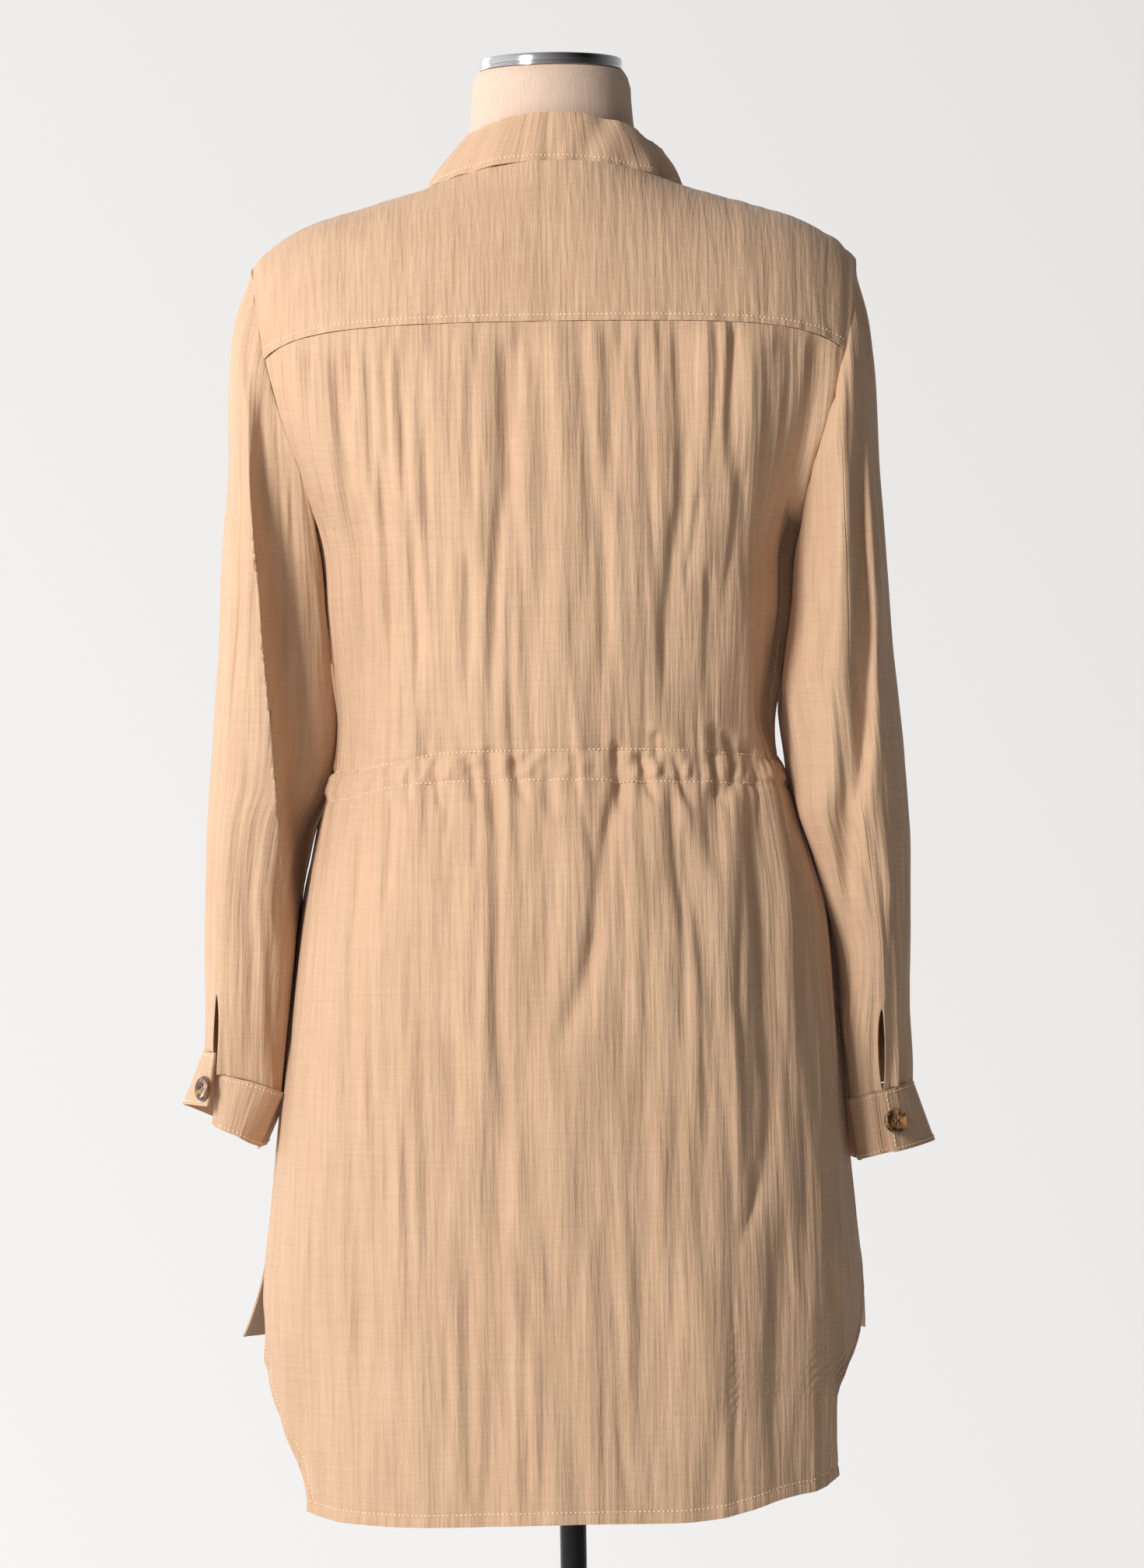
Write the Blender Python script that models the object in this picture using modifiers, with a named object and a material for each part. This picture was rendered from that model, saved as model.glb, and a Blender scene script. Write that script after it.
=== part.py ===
"""Long shirt-style tunic top worn by a limbless dress form on a round stand.

Metres, +Z up, the wearer faces -Y and the wearer's left is +X. The origin is on the floor
under the pole. Every cloth panel is a patch of one torso surface or of a sleeve surface.
"""
import bmesh
import bpy
import numpy as np
from mathutils import Vector

# ---------------------------------------------------------------- driving dimensions
CLOTH = 0.0012           # wall of the cloth
SEAM_GAP = 0.0003        # clearance between two sewn pieces
STRIP_LIFT = 0.0011      # clearance under a strip that lies on a panel

UNDERARM_LEVEL = 1.195   # bottom of the armholes
SHOULDER_LEVEL = 1.322   # ring that passes through the shoulder tips
NECK_LEVEL = 1.4265      # collar seam at the centre back
SHOULDER_SEAM = 113.0    # angle of the forward shoulder seam, degrees from the centre back
ARMHOLE_BACK = 30.0      # reach of the armhole into the back, degrees
ARMHOLE_FRONT = 32.0     # reach of the armhole into the front, degrees
SIDE_SEAM = 89.82        # angle of each panel's side edge from its own centre line, degrees
SIDE_SLIT_TOP = 0.715    # top of the side slits
BACK_HEM = 0.570         # hem of the back tail at its lowest
FRONT_HEM = 0.672        # hem of the shorter front
FRONT_CORNER_FLARE = 0.012   # how far the left corner of the front stands out
NECK_SLIT_END = 1.262    # bottom of the neck slit, as a ring level
NECK_SLIT_HALF = 0.014   # half the width of the neck slit at the collar
PLACKET_WIDTH = 0.020
PLACKET_TAIL = 0.016     # how far the strips run on below the slit
ARMHOLE_STEP = 0.0015    # how far outside the armhole edge a sleeve begins
BUTTON_RADIUS = 0.008
BUTTON_THICKNESS = 0.0032

POLE_RADIUS = 0.0085
POLE_FOOT = 0.0105
FORM_BOTTOM = 0.757
SOCKET_RADIUS = 0.045
SOCKET_HEIGHT = 0.012
BASE_RADIUS = 0.18
BASE_HEIGHT = 0.010
HUB_RADIUS = 0.021
HUB_HEIGHT = 0.060
CAP_RADIUS = 0.0458
CAP_HEIGHT = 0.008

# One row for each ring of the torso cloth, neck to hem. level is the ring's height at the
# centre back; side_rise and front_rise lift it there; roundness 1 is an ellipse, less is squarer.
RING_COLUMNS = ("level", "side_rise", "front_rise", "half_width", "back_depth", "front_depth", "roundness",
                "middle_x")
TORSO_RINGS = np.array([
    (1.4265, -0.0145, -0.0515, 0.0830, 0.062, 0.072, 0.98, -0.0010),
    (1.3920, 0.0110, -0.0400, 0.1210, 0.078, 0.086, 0.93, 0.0000),
    (1.3570, 0.0320, -0.0270, 0.1630, 0.089, 0.096, 0.87, 0.0000),
    (1.3220, 0.0435, -0.0170, 0.1930, 0.096, 0.103, 0.85, 0.0000),
    (1.2850, 0.0400, -0.0080, 0.2060, 0.100, 0.109, 0.83, 0.0000),
    (1.2500, 0.0200, -0.0030, 0.1960, 0.103, 0.115, 0.82, 0.0000),
    (1.2220, 0.0050, 0.0000, 0.1743, 0.103, 0.119, 0.82, 0.0000),
    (1.1950, 0.0000, 0.0000, 0.1570, 0.102, 0.121, 0.82, 0.0000),
    (1.1400, 0.0000, 0.0000, 0.1490, 0.097, 0.119, 0.83, 0.0000),
    (1.1000, 0.0000, 0.0000, 0.1440, 0.092, 0.114, 0.84, 0.0015),
    (1.0700, 0.0000, 0.0000, 0.1400, 0.088, 0.108, 0.84, 0.0030),
    (1.0450, 0.0000, 0.0000, 0.1420, 0.086, 0.105, 0.84, 0.0030),
    (1.0170, 0.0000, 0.0000, 0.1510, 0.093, 0.107, 0.84, 0.0020),
    (0.9650, 0.0000, 0.0000, 0.1655, 0.110, 0.113, 0.84, 0.0000),
    (0.8850, 0.0000, 0.0000, 0.1760, 0.122, 0.120, 0.84, 0.0015),
    (0.7850, 0.0000, 0.0000, 0.1850, 0.126, 0.125, 0.84, 0.0035),
    (0.7000, 0.0000, 0.0000, 0.1930, 0.129, 0.130, 0.84, 0.0035),
    (0.6200, 0.0000, 0.0000, 0.1920, 0.131, 0.133, 0.85, 0.0035),
    (0.5400, 0.0000, 0.0000, 0.1880, 0.133, 0.135, 0.86, 0.0035),
])

# The collar's free edge, in the same columns.
COLLAR_TOP = np.array([(1.4575, -0.0135, -0.0480, 0.0605, 0.0545, 0.0580, 0.98, -0.0025)])

# One row for each ring of the form, neck to flat bottom, in the same columns.
FORM_RINGS = np.array([
    (1.4885, 0.0000, 0.0000, 0.0465, 0.0465, 0.0465, 1.00, 0.0000),
    (1.4840, 0.0000, 0.0000, 0.0492, 0.0492, 0.0492, 1.00, 0.0000),
    (1.4660, -0.0010, -0.0040, 0.0515, 0.0500, 0.0505, 1.00, 0.0000),
    (1.4460, -0.0025, -0.0140, 0.0545, 0.0495, 0.0515, 1.00, 0.0000),
    (1.4280, -0.0080, -0.0280, 0.0640, 0.0530, 0.0570, 0.98, 0.0000),
    (1.4120, -0.0042, -0.0400, 0.0830, 0.0610, 0.0650, 0.96, 0.0000),
    (1.3880, 0.0124, -0.0360, 0.1210, 0.0710, 0.0770, 0.93, 0.0000),
    (1.3530, 0.0332, -0.0230, 0.1630, 0.0810, 0.0870, 0.87, 0.0000),
    (1.3180, 0.0435, -0.0130, 0.1870, 0.0880, 0.0930, 0.85, 0.0000),
    (1.2820, 0.0320, -0.0060, 0.1890, 0.0910, 0.0990, 0.84, 0.0000),
    (1.2500, 0.0140, -0.0020, 0.1770, 0.0930, 0.1050, 0.84, 0.0000),
    (1.2200, 0.0020, 0.0000, 0.1600, 0.0930, 0.1090, 0.84, 0.0000),
    (1.1900, 0.0000, 0.0000, 0.1460, 0.0910, 0.1110, 0.85, 0.0000),
    (1.1400, 0.0000, 0.0000, 0.1370, 0.0850, 0.1080, 0.87, 0.0000),
    (1.1000, 0.0000, 0.0000, 0.1300, 0.0780, 0.1000, 0.88, 0.0000),
    (1.0600, 0.0000, 0.0000, 0.1250, 0.0720, 0.0920, 0.90, 0.0000),
    (1.0200, 0.0000, 0.0000, 0.1310, 0.0760, 0.0920, 0.90, 0.0000),
    (0.9650, 0.0000, 0.0000, 0.1480, 0.0920, 0.0960, 0.90, 0.0000),
    (0.8850, 0.0000, 0.0000, 0.1620, 0.1040, 0.1010, 0.90, 0.0000),
    (0.8200, 0.0000, 0.0000, 0.1640, 0.1040, 0.1000, 0.90, 0.0000),
    (0.7800, 0.0000, 0.0000, 0.1600, 0.1000, 0.0960, 0.91, 0.0000),
    (FORM_BOTTOM, 0.0000, 0.0000, 0.1540, 0.0940, 0.0900, 0.92, 0.0000),
])

# How far the back tail's edges turn in below the side slits, in degrees: level, left, right.
BACK_TAIL = np.array([
    (UNDERARM_LEVEL, 0.0, 0.0),
    (SIDE_SLIT_TOP + 0.02, 0.0, 0.0),
    (SIDE_SLIT_TOP, 0.0, 0.0),
    (0.680, 6.0, 14.0),
    (0.655, 14.0, 27.0),
    (0.620, 27.0, 30.0),
    (0.590, 32.0, 28.0),
    (0.560, 32.0, 24.0),
])

# The largest soft folds of the torso cloth. across is the distance from the centre line at the
# top and bottom of the fold (+X is the wearer's left); depth is into the cloth, minus is a ridge.
FOLD_COLUMNS = ("top", "bottom", "across_top", "across_bottom", "width", "depth")
BACK_FOLDS = np.array([
    (1.300, 1.080, 0.137, 0.130, 0.014, 0.0090),
    (1.305, 1.200, 0.098, 0.096, 0.011, 0.0050),
    (1.312, 1.075, 0.033, 0.040, 0.012, 0.0080),
    (1.310, 1.085, 0.006, 0.009, 0.010, 0.0060),
    (1.312, 1.080, -0.033, -0.026, 0.011, 0.0055),
    (1.318, 1.075, -0.078, -0.068, 0.013, 0.0085),
    (1.312, 1.070, -0.140, -0.128, 0.017, 0.0100),
    (1.030, 0.860, -0.040, 0.008, 0.014, 0.0080),
    (1.000, 0.790, 0.098, 0.102, 0.013, 0.0050),
    (1.000, 0.650, -0.075, -0.092, 0.016, 0.0080),
    (0.960, 0.640, 0.044, 0.038, 0.015, 0.0070),
    (0.980, 0.840, -0.127, -0.133, 0.016, 0.0070),
    (0.900, 0.620, -0.118, -0.120, 0.014, -0.0060),
    (0.860, 0.600, 0.122, 0.126, 0.016, 0.0050),
])
FRONT_FOLDS = np.array([
    (1.230, 1.075, 0.104, 0.112, 0.014, 0.0070),
    (1.250, 1.080, 0.058, 0.070, 0.012, 0.0060),
    (1.200, 1.078, 0.018, 0.024, 0.012, 0.0050),
    (1.220, 1.080, -0.034, -0.040, 0.013, 0.0060),
    (1.245, 1.075, -0.086, -0.096, 0.014, 0.0070),
    (1.015, 0.760, 0.090, 0.108, 0.015, 0.0070),
    (1.020, 0.700, 0.036, 0.050, 0.015, 0.0080),
    (1.010, 0.740, -0.020, -0.030, 0.014, 0.0060),
    (1.018, 0.710, -0.082, -0.100, 0.016, 0.0080),
])

# One row for each level of a sleeve: x of its outer and inner side, half its depth, y of its middle.
SLEEVE_COLUMNS = ("z", "outer", "inner", "half_depth", "middle_y")
SLEEVE_ROWS = np.array([
    (1.3700, 0.1930, 0.1480, 0.0500, 0.000),
    (1.3450, 0.2050, 0.1480, 0.0590, 0.000),
    (1.3000, 0.2090, 0.1480, 0.0660, 0.001),
    (1.2250, 0.2125, 0.1460, 0.0700, 0.001),
    (1.1850, 0.2155, 0.1450, 0.0710, 0.000),
    (1.1350, 0.2190, 0.1440, 0.0700, -0.001),
    (1.0850, 0.2230, 0.1480, 0.0670, -0.002),
    (1.0350, 0.2265, 0.1530, 0.0640, -0.003),
    (0.9850, 0.2290, 0.1620, 0.0610, -0.004),
    (0.9350, 0.2305, 0.1700, 0.0590, -0.005),
    (0.8850, 0.2315, 0.1760, 0.0540, -0.006),
    (0.8550, 0.2325, 0.1790, 0.0460, -0.006),
    (0.8200, 0.2310, 0.1810, 0.0420, -0.006),
])
SLEEVE_ROUNDNESS = 0.86
SLEEVE_CLEAR = 0.0045    # how far a sleeve keeps off the torso cloth
WRIST_SLIT = 0.0520      # length of the sleeve slit
SLIT_HALF = 0.0016       # half the gap of the slit

# Each side: sign of x, how much slimmer the sleeve is, the slit's angle round the sleeve
# (0 outer, 90 back), the middle height of the cuff seam and how much higher it is on the outer
# side, the cuff's drop and outward lean, and how far its button end stands out.
SIDES = {
    "left": dict(sign=1.0, slimmer=0.000, slit=52.0, seam=0.8440, tilt=0.0180, drop=0.0300, lean=0.0160,
                 flap=0.0060),
    "right": dict(sign=-1.0, slimmer=0.006, slit=84.0, seam=0.8320, tilt=0.0080, drop=0.0400, lean=0.0070,
                  flap=0.0045),
}
# The long crease down the back of each sleeve: height, angle round the sleeve, depth.
SLEEVE_CREASE = np.array([
    (1.330, 50.0, 0.000),
    (1.270, 72.0, 0.009),
    (1.170, 98.0, 0.013),
    (1.050, 118.0, 0.012),
    (0.930, 150.0, 0.007),
    (0.880, 160.0, 0.000),
])
CREASE_WIDTH = 17.0      # degrees

# Quads across and down each panel.
BACK_ACROSS = 36
BACK_ABOVE_UNDERARM = 6
BACK_BELOW_UNDERARM = 12
YOKE_BEHIND = 18         # from the centre to the back of the armhole
YOKE_OVER = 6            # from there over the shoulder to the front seam
YOKE_DOWN = 5
FRONT_HALF_ACROSS = 13
FRONT_SLIT_ROWS = 2      # from the shoulder seam's end to the end of the neck slit
FRONT_CHEST_ROWS = 3
FRONT_LOWER_ROWS = 9
SLEEVE_ROUND = 22
SLEEVE_ABOVE_SLIT = 11
SLEEVE_SLIT_ROWS = 2
CUFF_ROWS = 2
FORM_SIDES = 32
TURNED_STEPS = 32


# ---------------------------------------------------------------- surfaces
def smooth_column(keys, values, at):
    """A column of a table read between its rows with a cubic that keeps the rows' slopes."""
    order = np.argsort(keys)
    k = np.asarray(keys)[order]
    v = np.asarray(values)[order]
    if len(k) == 1:
        return np.full(np.shape(at), v[0])
    slope = np.gradient(v, k)
    at = np.clip(at, k[0], k[-1])
    i = np.clip(np.searchsorted(k, at, side="right") - 1, 0, len(k) - 2)
    step = k[i + 1] - k[i]
    t = (at - k[i]) / step
    start = (1 + 2 * t) * (1 - t) ** 2 * v[i] + t * (1 - t) ** 2 * step * slope[i]
    end = t * t * (3 - 2 * t) * v[i + 1] + t * t * (t - 1) * step * slope[i + 1]
    return start + end


def ring_point(rings, angle, level):
    """Point of a ring surface: a squared ellipse in plan, lifted at the sides and the front."""
    row = {name: smooth_column(rings[:, 0], rings[:, n], level) for n, name in enumerate(RING_COLUMNS)}
    s = np.sin(np.radians(angle))
    c = np.cos(np.radians(angle))
    depth = np.where(c > 0, row["back_depth"], row["front_depth"])
    x = row["middle_x"] + row["half_width"] * np.sign(s) * np.abs(s) ** row["roundness"]
    y = depth * np.sign(c) * np.abs(c) ** row["roundness"]
    z = level + row["side_rise"] * s * s + row["front_rise"] * np.where(c < 0, c * c, 0.0)
    return np.stack([x, y, z], axis=-1)


def torso_half_width(y, level):
    """Half-width of the torso cloth at a distance y behind or ahead of its middle."""
    column = {name: smooth_column(TORSO_RINGS[:, 0], TORSO_RINGS[:, n], level)
              for n, name in enumerate(RING_COLUMNS)}
    depth = np.where(y > 0, column["back_depth"], column["front_depth"])
    c = np.clip(np.abs(y) / depth, 0.0, 1.0) ** (1.0 / column["roundness"])
    return column["half_width"] * (1.0 - c * c) ** (column["roundness"] / 2.0)


def fold_depth(point, level, folds):
    """Sum of the folds: a bell across each fold that fades in and out along its length."""
    total = np.zeros(np.shape(level))
    for top, bottom, across_top, across_bottom, width, depth in folds:
        along = np.clip((top - level) / (top - bottom), 0.0, 1.0)
        across = across_top + (across_bottom - across_top) * along
        fade = np.clip(np.sin(np.pi * along), 0.0, 1.0) ** 0.6
        total += depth * fade * np.exp(-((point[..., 0] - across) / width) ** 2)
    return total


def torso_point(angle, level, folded=True):
    """The torso cloth: its ring surface, pushed in front to back by the folds below the yoke."""
    angle, level = np.broadcast_arrays(np.asarray(angle, float), np.asarray(level, float))
    point = ring_point(TORSO_RINGS, angle, level)
    if not folded:
        return point
    behind = np.cos(np.radians(angle)) > 0
    off_centre = np.abs(np.where(behind, angle, 180.0 - angle))
    folds = np.where(behind, fold_depth(point, level, BACK_FOLDS), fold_depth(point, level, FRONT_FOLDS))
    folds = folds * np.clip((80.0 - off_centre) / 14.0, 0.0, 1.0)
    folds = folds * np.clip((yoke_seam_level(np.minimum(off_centre, 60.0)) - level) / 0.02, 0.0, 1.0)
    point[..., 1] -= np.where(behind, folds, -folds)
    return point


def armhole_angle(level, reach):
    """Angle from the side line to the armhole edge at a level inside the armhole."""
    middle = (SHOULDER_LEVEL + UNDERARM_LEVEL) / 2
    half = (SHOULDER_LEVEL - UNDERARM_LEVEL) / 2
    return reach * np.sqrt(np.clip(1.0 - ((level - middle) / half) ** 2, 0.0, 1.0))


def armhole_level(offset, reach):
    """Level of the armhole's upper half, for an angle from the side line."""
    middle = (SHOULDER_LEVEL + UNDERARM_LEVEL) / 2
    half = (SHOULDER_LEVEL - UNDERARM_LEVEL) / 2
    return middle + half * np.sqrt(np.clip(1.0 - (offset / reach) ** 2, 0.0, 1.0))


def yoke_seam_level(angle):
    """Level of the seam between the yoke and the back: flat in the middle, lower at the armholes."""
    side = np.sin(np.radians(angle)) ** 2
    return SHOULDER_LEVEL - 0.0435 * side - 0.012 * (np.abs(angle) / 60.0) ** 3


def yoke_corner():
    """Angle at which the yoke seam meets the back of the armhole."""
    angle = 60.0
    for _ in range(40):
        angle = 90.0 - armhole_angle(yoke_seam_level(angle), ARMHOLE_BACK)
    return float(angle)


def yoke_edge_level(angle):
    """Outer edge of the yoke: the back seam, then the armhole over the shoulder to the front seam."""
    a = np.abs(angle)
    reach = np.where(a < 90.0, ARMHOLE_BACK, ARMHOLE_FRONT)
    return np.where(a < yoke_corner(), yoke_seam_level(a), armhole_level(a - 90.0, reach))


# ---------------------------------------------------------------- panels as grids of points
def rows_between(stops, counts):
    """Levels of the rows of a panel: evenly spaced between stops, with a row exactly on each stop."""
    rows = [stops[0]]
    for start, end, count in zip(stops[:-1], stops[1:], counts):
        for n in range(1, count + 1):
            rows.append(start + (end - start) * n / count)
    return np.stack(np.broadcast_arrays(*rows))


def back_points():
    """Yoke seam to hem, armhole to armhole and side seam to side seam."""
    u = np.linspace(-1.0, 1.0, BACK_ACROSS + 1)
    top = yoke_seam_level(u * yoke_corner()) - SEAM_GAP
    hem = BACK_HEM + 0.003 * u ** 2 + 0.016 * np.clip(-u, 0.0, 1.0) ** 2
    level = rows_between((top, UNDERARM_LEVEL, hem), (BACK_ABOVE_UNDERARM, BACK_BELOW_UNDERARM))
    edge_level = np.where(u < 0, level[:, :1], level[:, -1:])
    left = smooth_column(BACK_TAIL[:, 0], BACK_TAIL[:, 1], edge_level)
    right = smooth_column(BACK_TAIL[:, 0], BACK_TAIL[:, 2], edge_level)
    edge = SIDE_SEAM - armhole_angle(edge_level, ARMHOLE_BACK) - np.where(u < 0, right, left)
    return torso_point(u * edge, level)


def yoke_angles():
    behind = np.linspace(0.0, yoke_corner(), YOKE_BEHIND + 1)
    over = np.linspace(yoke_corner(), SHOULDER_SEAM, YOKE_OVER + 1)[1:]
    half = np.concatenate([behind, over])
    return np.concatenate([-half[:0:-1], half])


def yoke_points():
    """Neck seam to yoke seam, over both shoulders."""
    angle = yoke_angles()
    top = NECK_LEVEL - SEAM_GAP
    level = rows_between((top, yoke_edge_level(angle)), (YOKE_DOWN,))
    return torso_point(angle[None, :], level, folded=False)


def shoulder_seam_end():
    """Level at which the forward shoulder seam meets the armhole."""
    return float(armhole_level(SHOULDER_SEAM - 90.0, ARMHOLE_FRONT))


def slit_half_angle(level):
    """Angle from the centre front to the edge of the neck slit."""
    open_part = np.clip((level - NECK_SLIT_END) / (NECK_LEVEL - NECK_SLIT_END), 0.0, 1.0)
    half_width = smooth_column(TORSO_RINGS[:, 0], TORSO_RINGS[:, 3], level)
    return np.degrees(np.arcsin((NECK_SLIT_HALF * open_part / half_width) ** 1.1))


def front_half():
    """Angles from the centre front and levels of half the front, from its slit edge outwards."""
    u = np.linspace(0.0, 1.0, FRONT_HALF_ACROSS + 1)
    hem = FRONT_HEM + 0.008 * u ** 2
    counts = (YOKE_DOWN, FRONT_SLIT_ROWS, FRONT_CHEST_ROWS, FRONT_LOWER_ROWS)
    stops = (NECK_LEVEL - SEAM_GAP, shoulder_seam_end(), NECK_SLIT_END, UNDERARM_LEVEL, hem)
    level = rows_between(stops, counts)
    edge_level = level[:, -1:]
    edge = SIDE_SEAM - armhole_angle(edge_level, ARMHOLE_FRONT)
    middle = (SHOULDER_LEVEL + UNDERARM_LEVEL) / 2
    edge = np.where(edge_level > middle, np.minimum(edge, 179.75 - SHOULDER_SEAM), edge)
    inner = slit_half_angle(level[:, :1])
    return inner + (edge - inner) * u, level


def front_points():
    """Left half and right half, edge to edge through the centre front."""
    offset, level = front_half()
    angle = np.concatenate([180.0 - offset[:, ::-1], 180.0 + offset], axis=1)
    level = np.concatenate([level[:, ::-1], level], axis=1)
    point = torso_point(angle, level)
    to_hem = np.clip((SIDE_SLIT_TOP + 0.03 - level) / (SIDE_SLIT_TOP + 0.03 - FRONT_HEM), 0.0, 1.0)
    to_left_edge = np.clip((180.0 - angle - 55.0) / 35.0, 0.0, 1.0)
    point[..., 0] += FRONT_CORNER_FLARE * to_hem ** 2 * to_left_edge ** 2
    return point


def placket_points(sign):
    """A strip along one edge of the neck slit, lifted off the front panel."""
    stops = (NECK_LEVEL - SEAM_GAP, shoulder_seam_end(), NECK_SLIT_END, NECK_SLIT_END - PLACKET_TAIL)
    level = rows_between(stops, (YOKE_DOWN, FRONT_SLIT_ROWS, 1))[:, None]
    u = np.linspace(0.0, 1.0, 3)[None, :]
    inner = slit_half_angle(level) + np.degrees(SEAM_GAP / 0.1)
    half_width = smooth_column(TORSO_RINGS[:, 0], TORSO_RINGS[:, 3], level)
    offset = inner + np.degrees(PLACKET_WIDTH / half_width) * u
    angle = 180.0 - sign * offset
    point = torso_point(angle, level)
    point[..., 1] -= STRIP_LIFT + CLOTH
    return point


def collar_points():
    """Band between the neck seam and its free edge, leaning in, open at the front."""
    offset, _ = front_half()
    ahead = 180.0 - offset[0, ::-1]
    angle = np.concatenate([-ahead[:0:-1], yoke_angles(), ahead[1:]])
    foot = ring_point(TORSO_RINGS, angle, np.full_like(angle, NECK_LEVEL))
    top = ring_point(COLLAR_TOP, angle, np.full_like(angle, COLLAR_TOP[0, 0]))
    foot[..., 2] += SEAM_GAP
    return np.stack([foot, top])


# ---------------------------------------------------------------- sleeves and cuffs
def armhole_point(around):
    """Armhole seam; around is 0 at the shoulder tip, 90 at the back, 180 under the arm."""
    s = np.sin(np.radians(around))
    c = np.cos(np.radians(around))
    angle = 90.0 - np.where(s > 0, ARMHOLE_BACK, ARMHOLE_FRONT) * s
    level = (SHOULDER_LEVEL + UNDERARM_LEVEL) / 2 + (SHOULDER_LEVEL - UNDERARM_LEVEL) / 2 * c
    point = ring_point(TORSO_RINGS, angle, level)
    point[..., 0] += ARMHOLE_STEP
    return point


def sleeve_tube(around, z, side):
    """Plan position of the hanging sleeve: a flattened tube with one long crease down its back."""
    row = {name: smooth_column(SLEEVE_ROWS[:, 0], SLEEVE_ROWS[:, n], z)
           for n, name in enumerate(SLEEVE_COLUMNS)}
    s = np.sin(np.radians(around))
    c = np.cos(np.radians(around))
    slimmer = side["slimmer"] * (1.0 + np.clip((1.0 - z) / 0.12, 0.0, 0.8))
    outer = row["outer"] - slimmer * np.clip((1.375 - z) / 0.02, 0.0, 1.0)
    middle = (outer + row["inner"]) / 2
    x = np.sign(c) * np.abs(c) ** SLEEVE_ROUNDNESS * (outer - row["inner"]) / 2
    y = np.sign(s) * np.abs(s) ** SLEEVE_ROUNDNESS * row["half_depth"]
    place = smooth_column(SLEEVE_CREASE[:, 0], SLEEVE_CREASE[:, 1], z)
    depth = smooth_column(SLEEVE_CREASE[:, 0], SLEEVE_CREASE[:, 2], z)
    turn = (around - place + 180.0) % 360.0 - 180.0
    pull = depth * np.exp(-(turn / CREASE_WIDTH) ** 2) / np.hypot(x, y)
    x = middle + x * (1.0 - pull)
    y = row["middle_y"] + y * (1.0 - pull)
    body = torso_half_width(y, np.minimum(z, UNDERARM_LEVEL)) + SLEEVE_CLEAR
    return np.maximum(x, body), y


def wrist_level(around, side):
    return side["seam"] + side["tilt"] * np.cos(np.radians(around))


def sleeve_angles(side):
    return side["slit"] + np.linspace(0.0, 360.0, SLEEVE_ROUND + 1)


def open_slit(point, side, rows):
    """Part the first and last columns by the slit's gap on the given rows."""
    turn = np.radians(side["slit"])
    apart = SLIT_HALF * np.array([-np.sin(turn), np.cos(turn), 0.0])
    point[rows, 0] += apart
    point[rows, -1] -= apart


def sleeve_points(side):
    """Armhole to cuff seam; the columns start and end at the slit."""
    around = sleeve_angles(side)[None, :]
    hole = armhole_point(around)
    reach = hole[..., 2] - wrist_level(around, side)
    slit_top = 1.0 - WRIST_SLIT / reach[0, 0]
    upper = slit_top * np.linspace(0.0, 1.0, SLEEVE_ABOVE_SLIT + 1) ** 1.35
    lower = np.linspace(slit_top, 1.0, SLEEVE_SLIT_ROWS + 1)[1:]
    down = np.concatenate([upper, lower])[:, None]
    z = hole[..., 2] - reach * down
    x, y = sleeve_tube(around, z, side)
    settle = 1.0 - np.exp(-reach * down / 0.018)
    x = hole[..., 0] + (x - hole[..., 0]) * settle
    y = hole[..., 1] + (y - hole[..., 1]) * settle
    point = np.stack([x, y, z], axis=-1)
    open_slit(point, side, slice(SLEEVE_ABOVE_SLIT + 1, None))
    point[..., 0] *= side["sign"]
    return point


def cuff_points(side):
    """Cuff seam to free edge: the band leans outwards and its button end stands out."""
    around = sleeve_angles(side)[None, :]
    top = wrist_level(around, side)
    x, y = sleeve_tube(around, top, side)
    v = np.linspace(0.0, 1.0, CUFF_ROWS + 1)[:, None]
    from_button_end = (side["slit"] + 360.0 - around) / 45.0
    out = side["flap"] * v * np.exp(-from_button_end ** 2)
    x = x + side["lean"] * v + out * np.cos(np.radians(around))
    y = y + out * np.sin(np.radians(around))
    tucked = CLOTH * side["lean"] / side["drop"] * np.clip(-np.cos(np.radians(around)), 0.0, 1.0)
    z = top - SEAM_GAP - 1.2 * tucked - side["drop"] * v
    point = np.stack(np.broadcast_arrays(x, y, z), axis=-1).copy()
    open_slit(point, side, slice(None))
    point[..., 0] *= side["sign"]
    return point


# ---------------------------------------------------------------- Blender objects
def clear_scene():
    for obj in list(bpy.data.objects):
        bpy.data.objects.remove(obj, do_unlink=True)


def material(name, colour, roughness, metallic=0.0):
    made = bpy.data.materials.new(name)
    made.use_nodes = True
    shader = made.node_tree.nodes["Principled BSDF"]
    shader.inputs["Base Color"].default_value = (*colour, 1.0)
    shader.inputs["Roughness"].default_value = roughness
    shader.inputs["Metallic"].default_value = metallic
    return made


def add_object(name, mesh, finish):
    obj = bpy.data.objects.new(name, mesh)
    obj.data.materials.append(finish)
    COLLECTION.objects.link(obj)
    return obj


def grid_mesh(name, point, flip=False, skip_column=None):
    """Mesh of a grid of points; columns that meet are welded and one column may be left open."""
    rows, columns = point.shape[:2]
    index = np.arange(rows * columns).reshape(rows, columns)
    quads = np.stack([index[:-1, :-1], index[:-1, 1:], index[1:, 1:], index[1:, :-1]], axis=-1)
    if skip_column is not None:
        quads = np.delete(quads, skip_column, axis=1)
    quads = quads.reshape(-1, 4)
    if flip:
        quads = quads[:, ::-1]
    mesh = bpy.data.meshes.new(name)
    mesh.from_pydata(point.reshape(-1, 3).tolist(), [], quads.tolist())
    shell = bmesh.new()
    shell.from_mesh(mesh)
    bmesh.ops.remove_doubles(shell, verts=shell.verts, dist=0.00002)
    shell.to_mesh(mesh)
    shell.free()
    mesh.shade_smooth()
    return mesh


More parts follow.
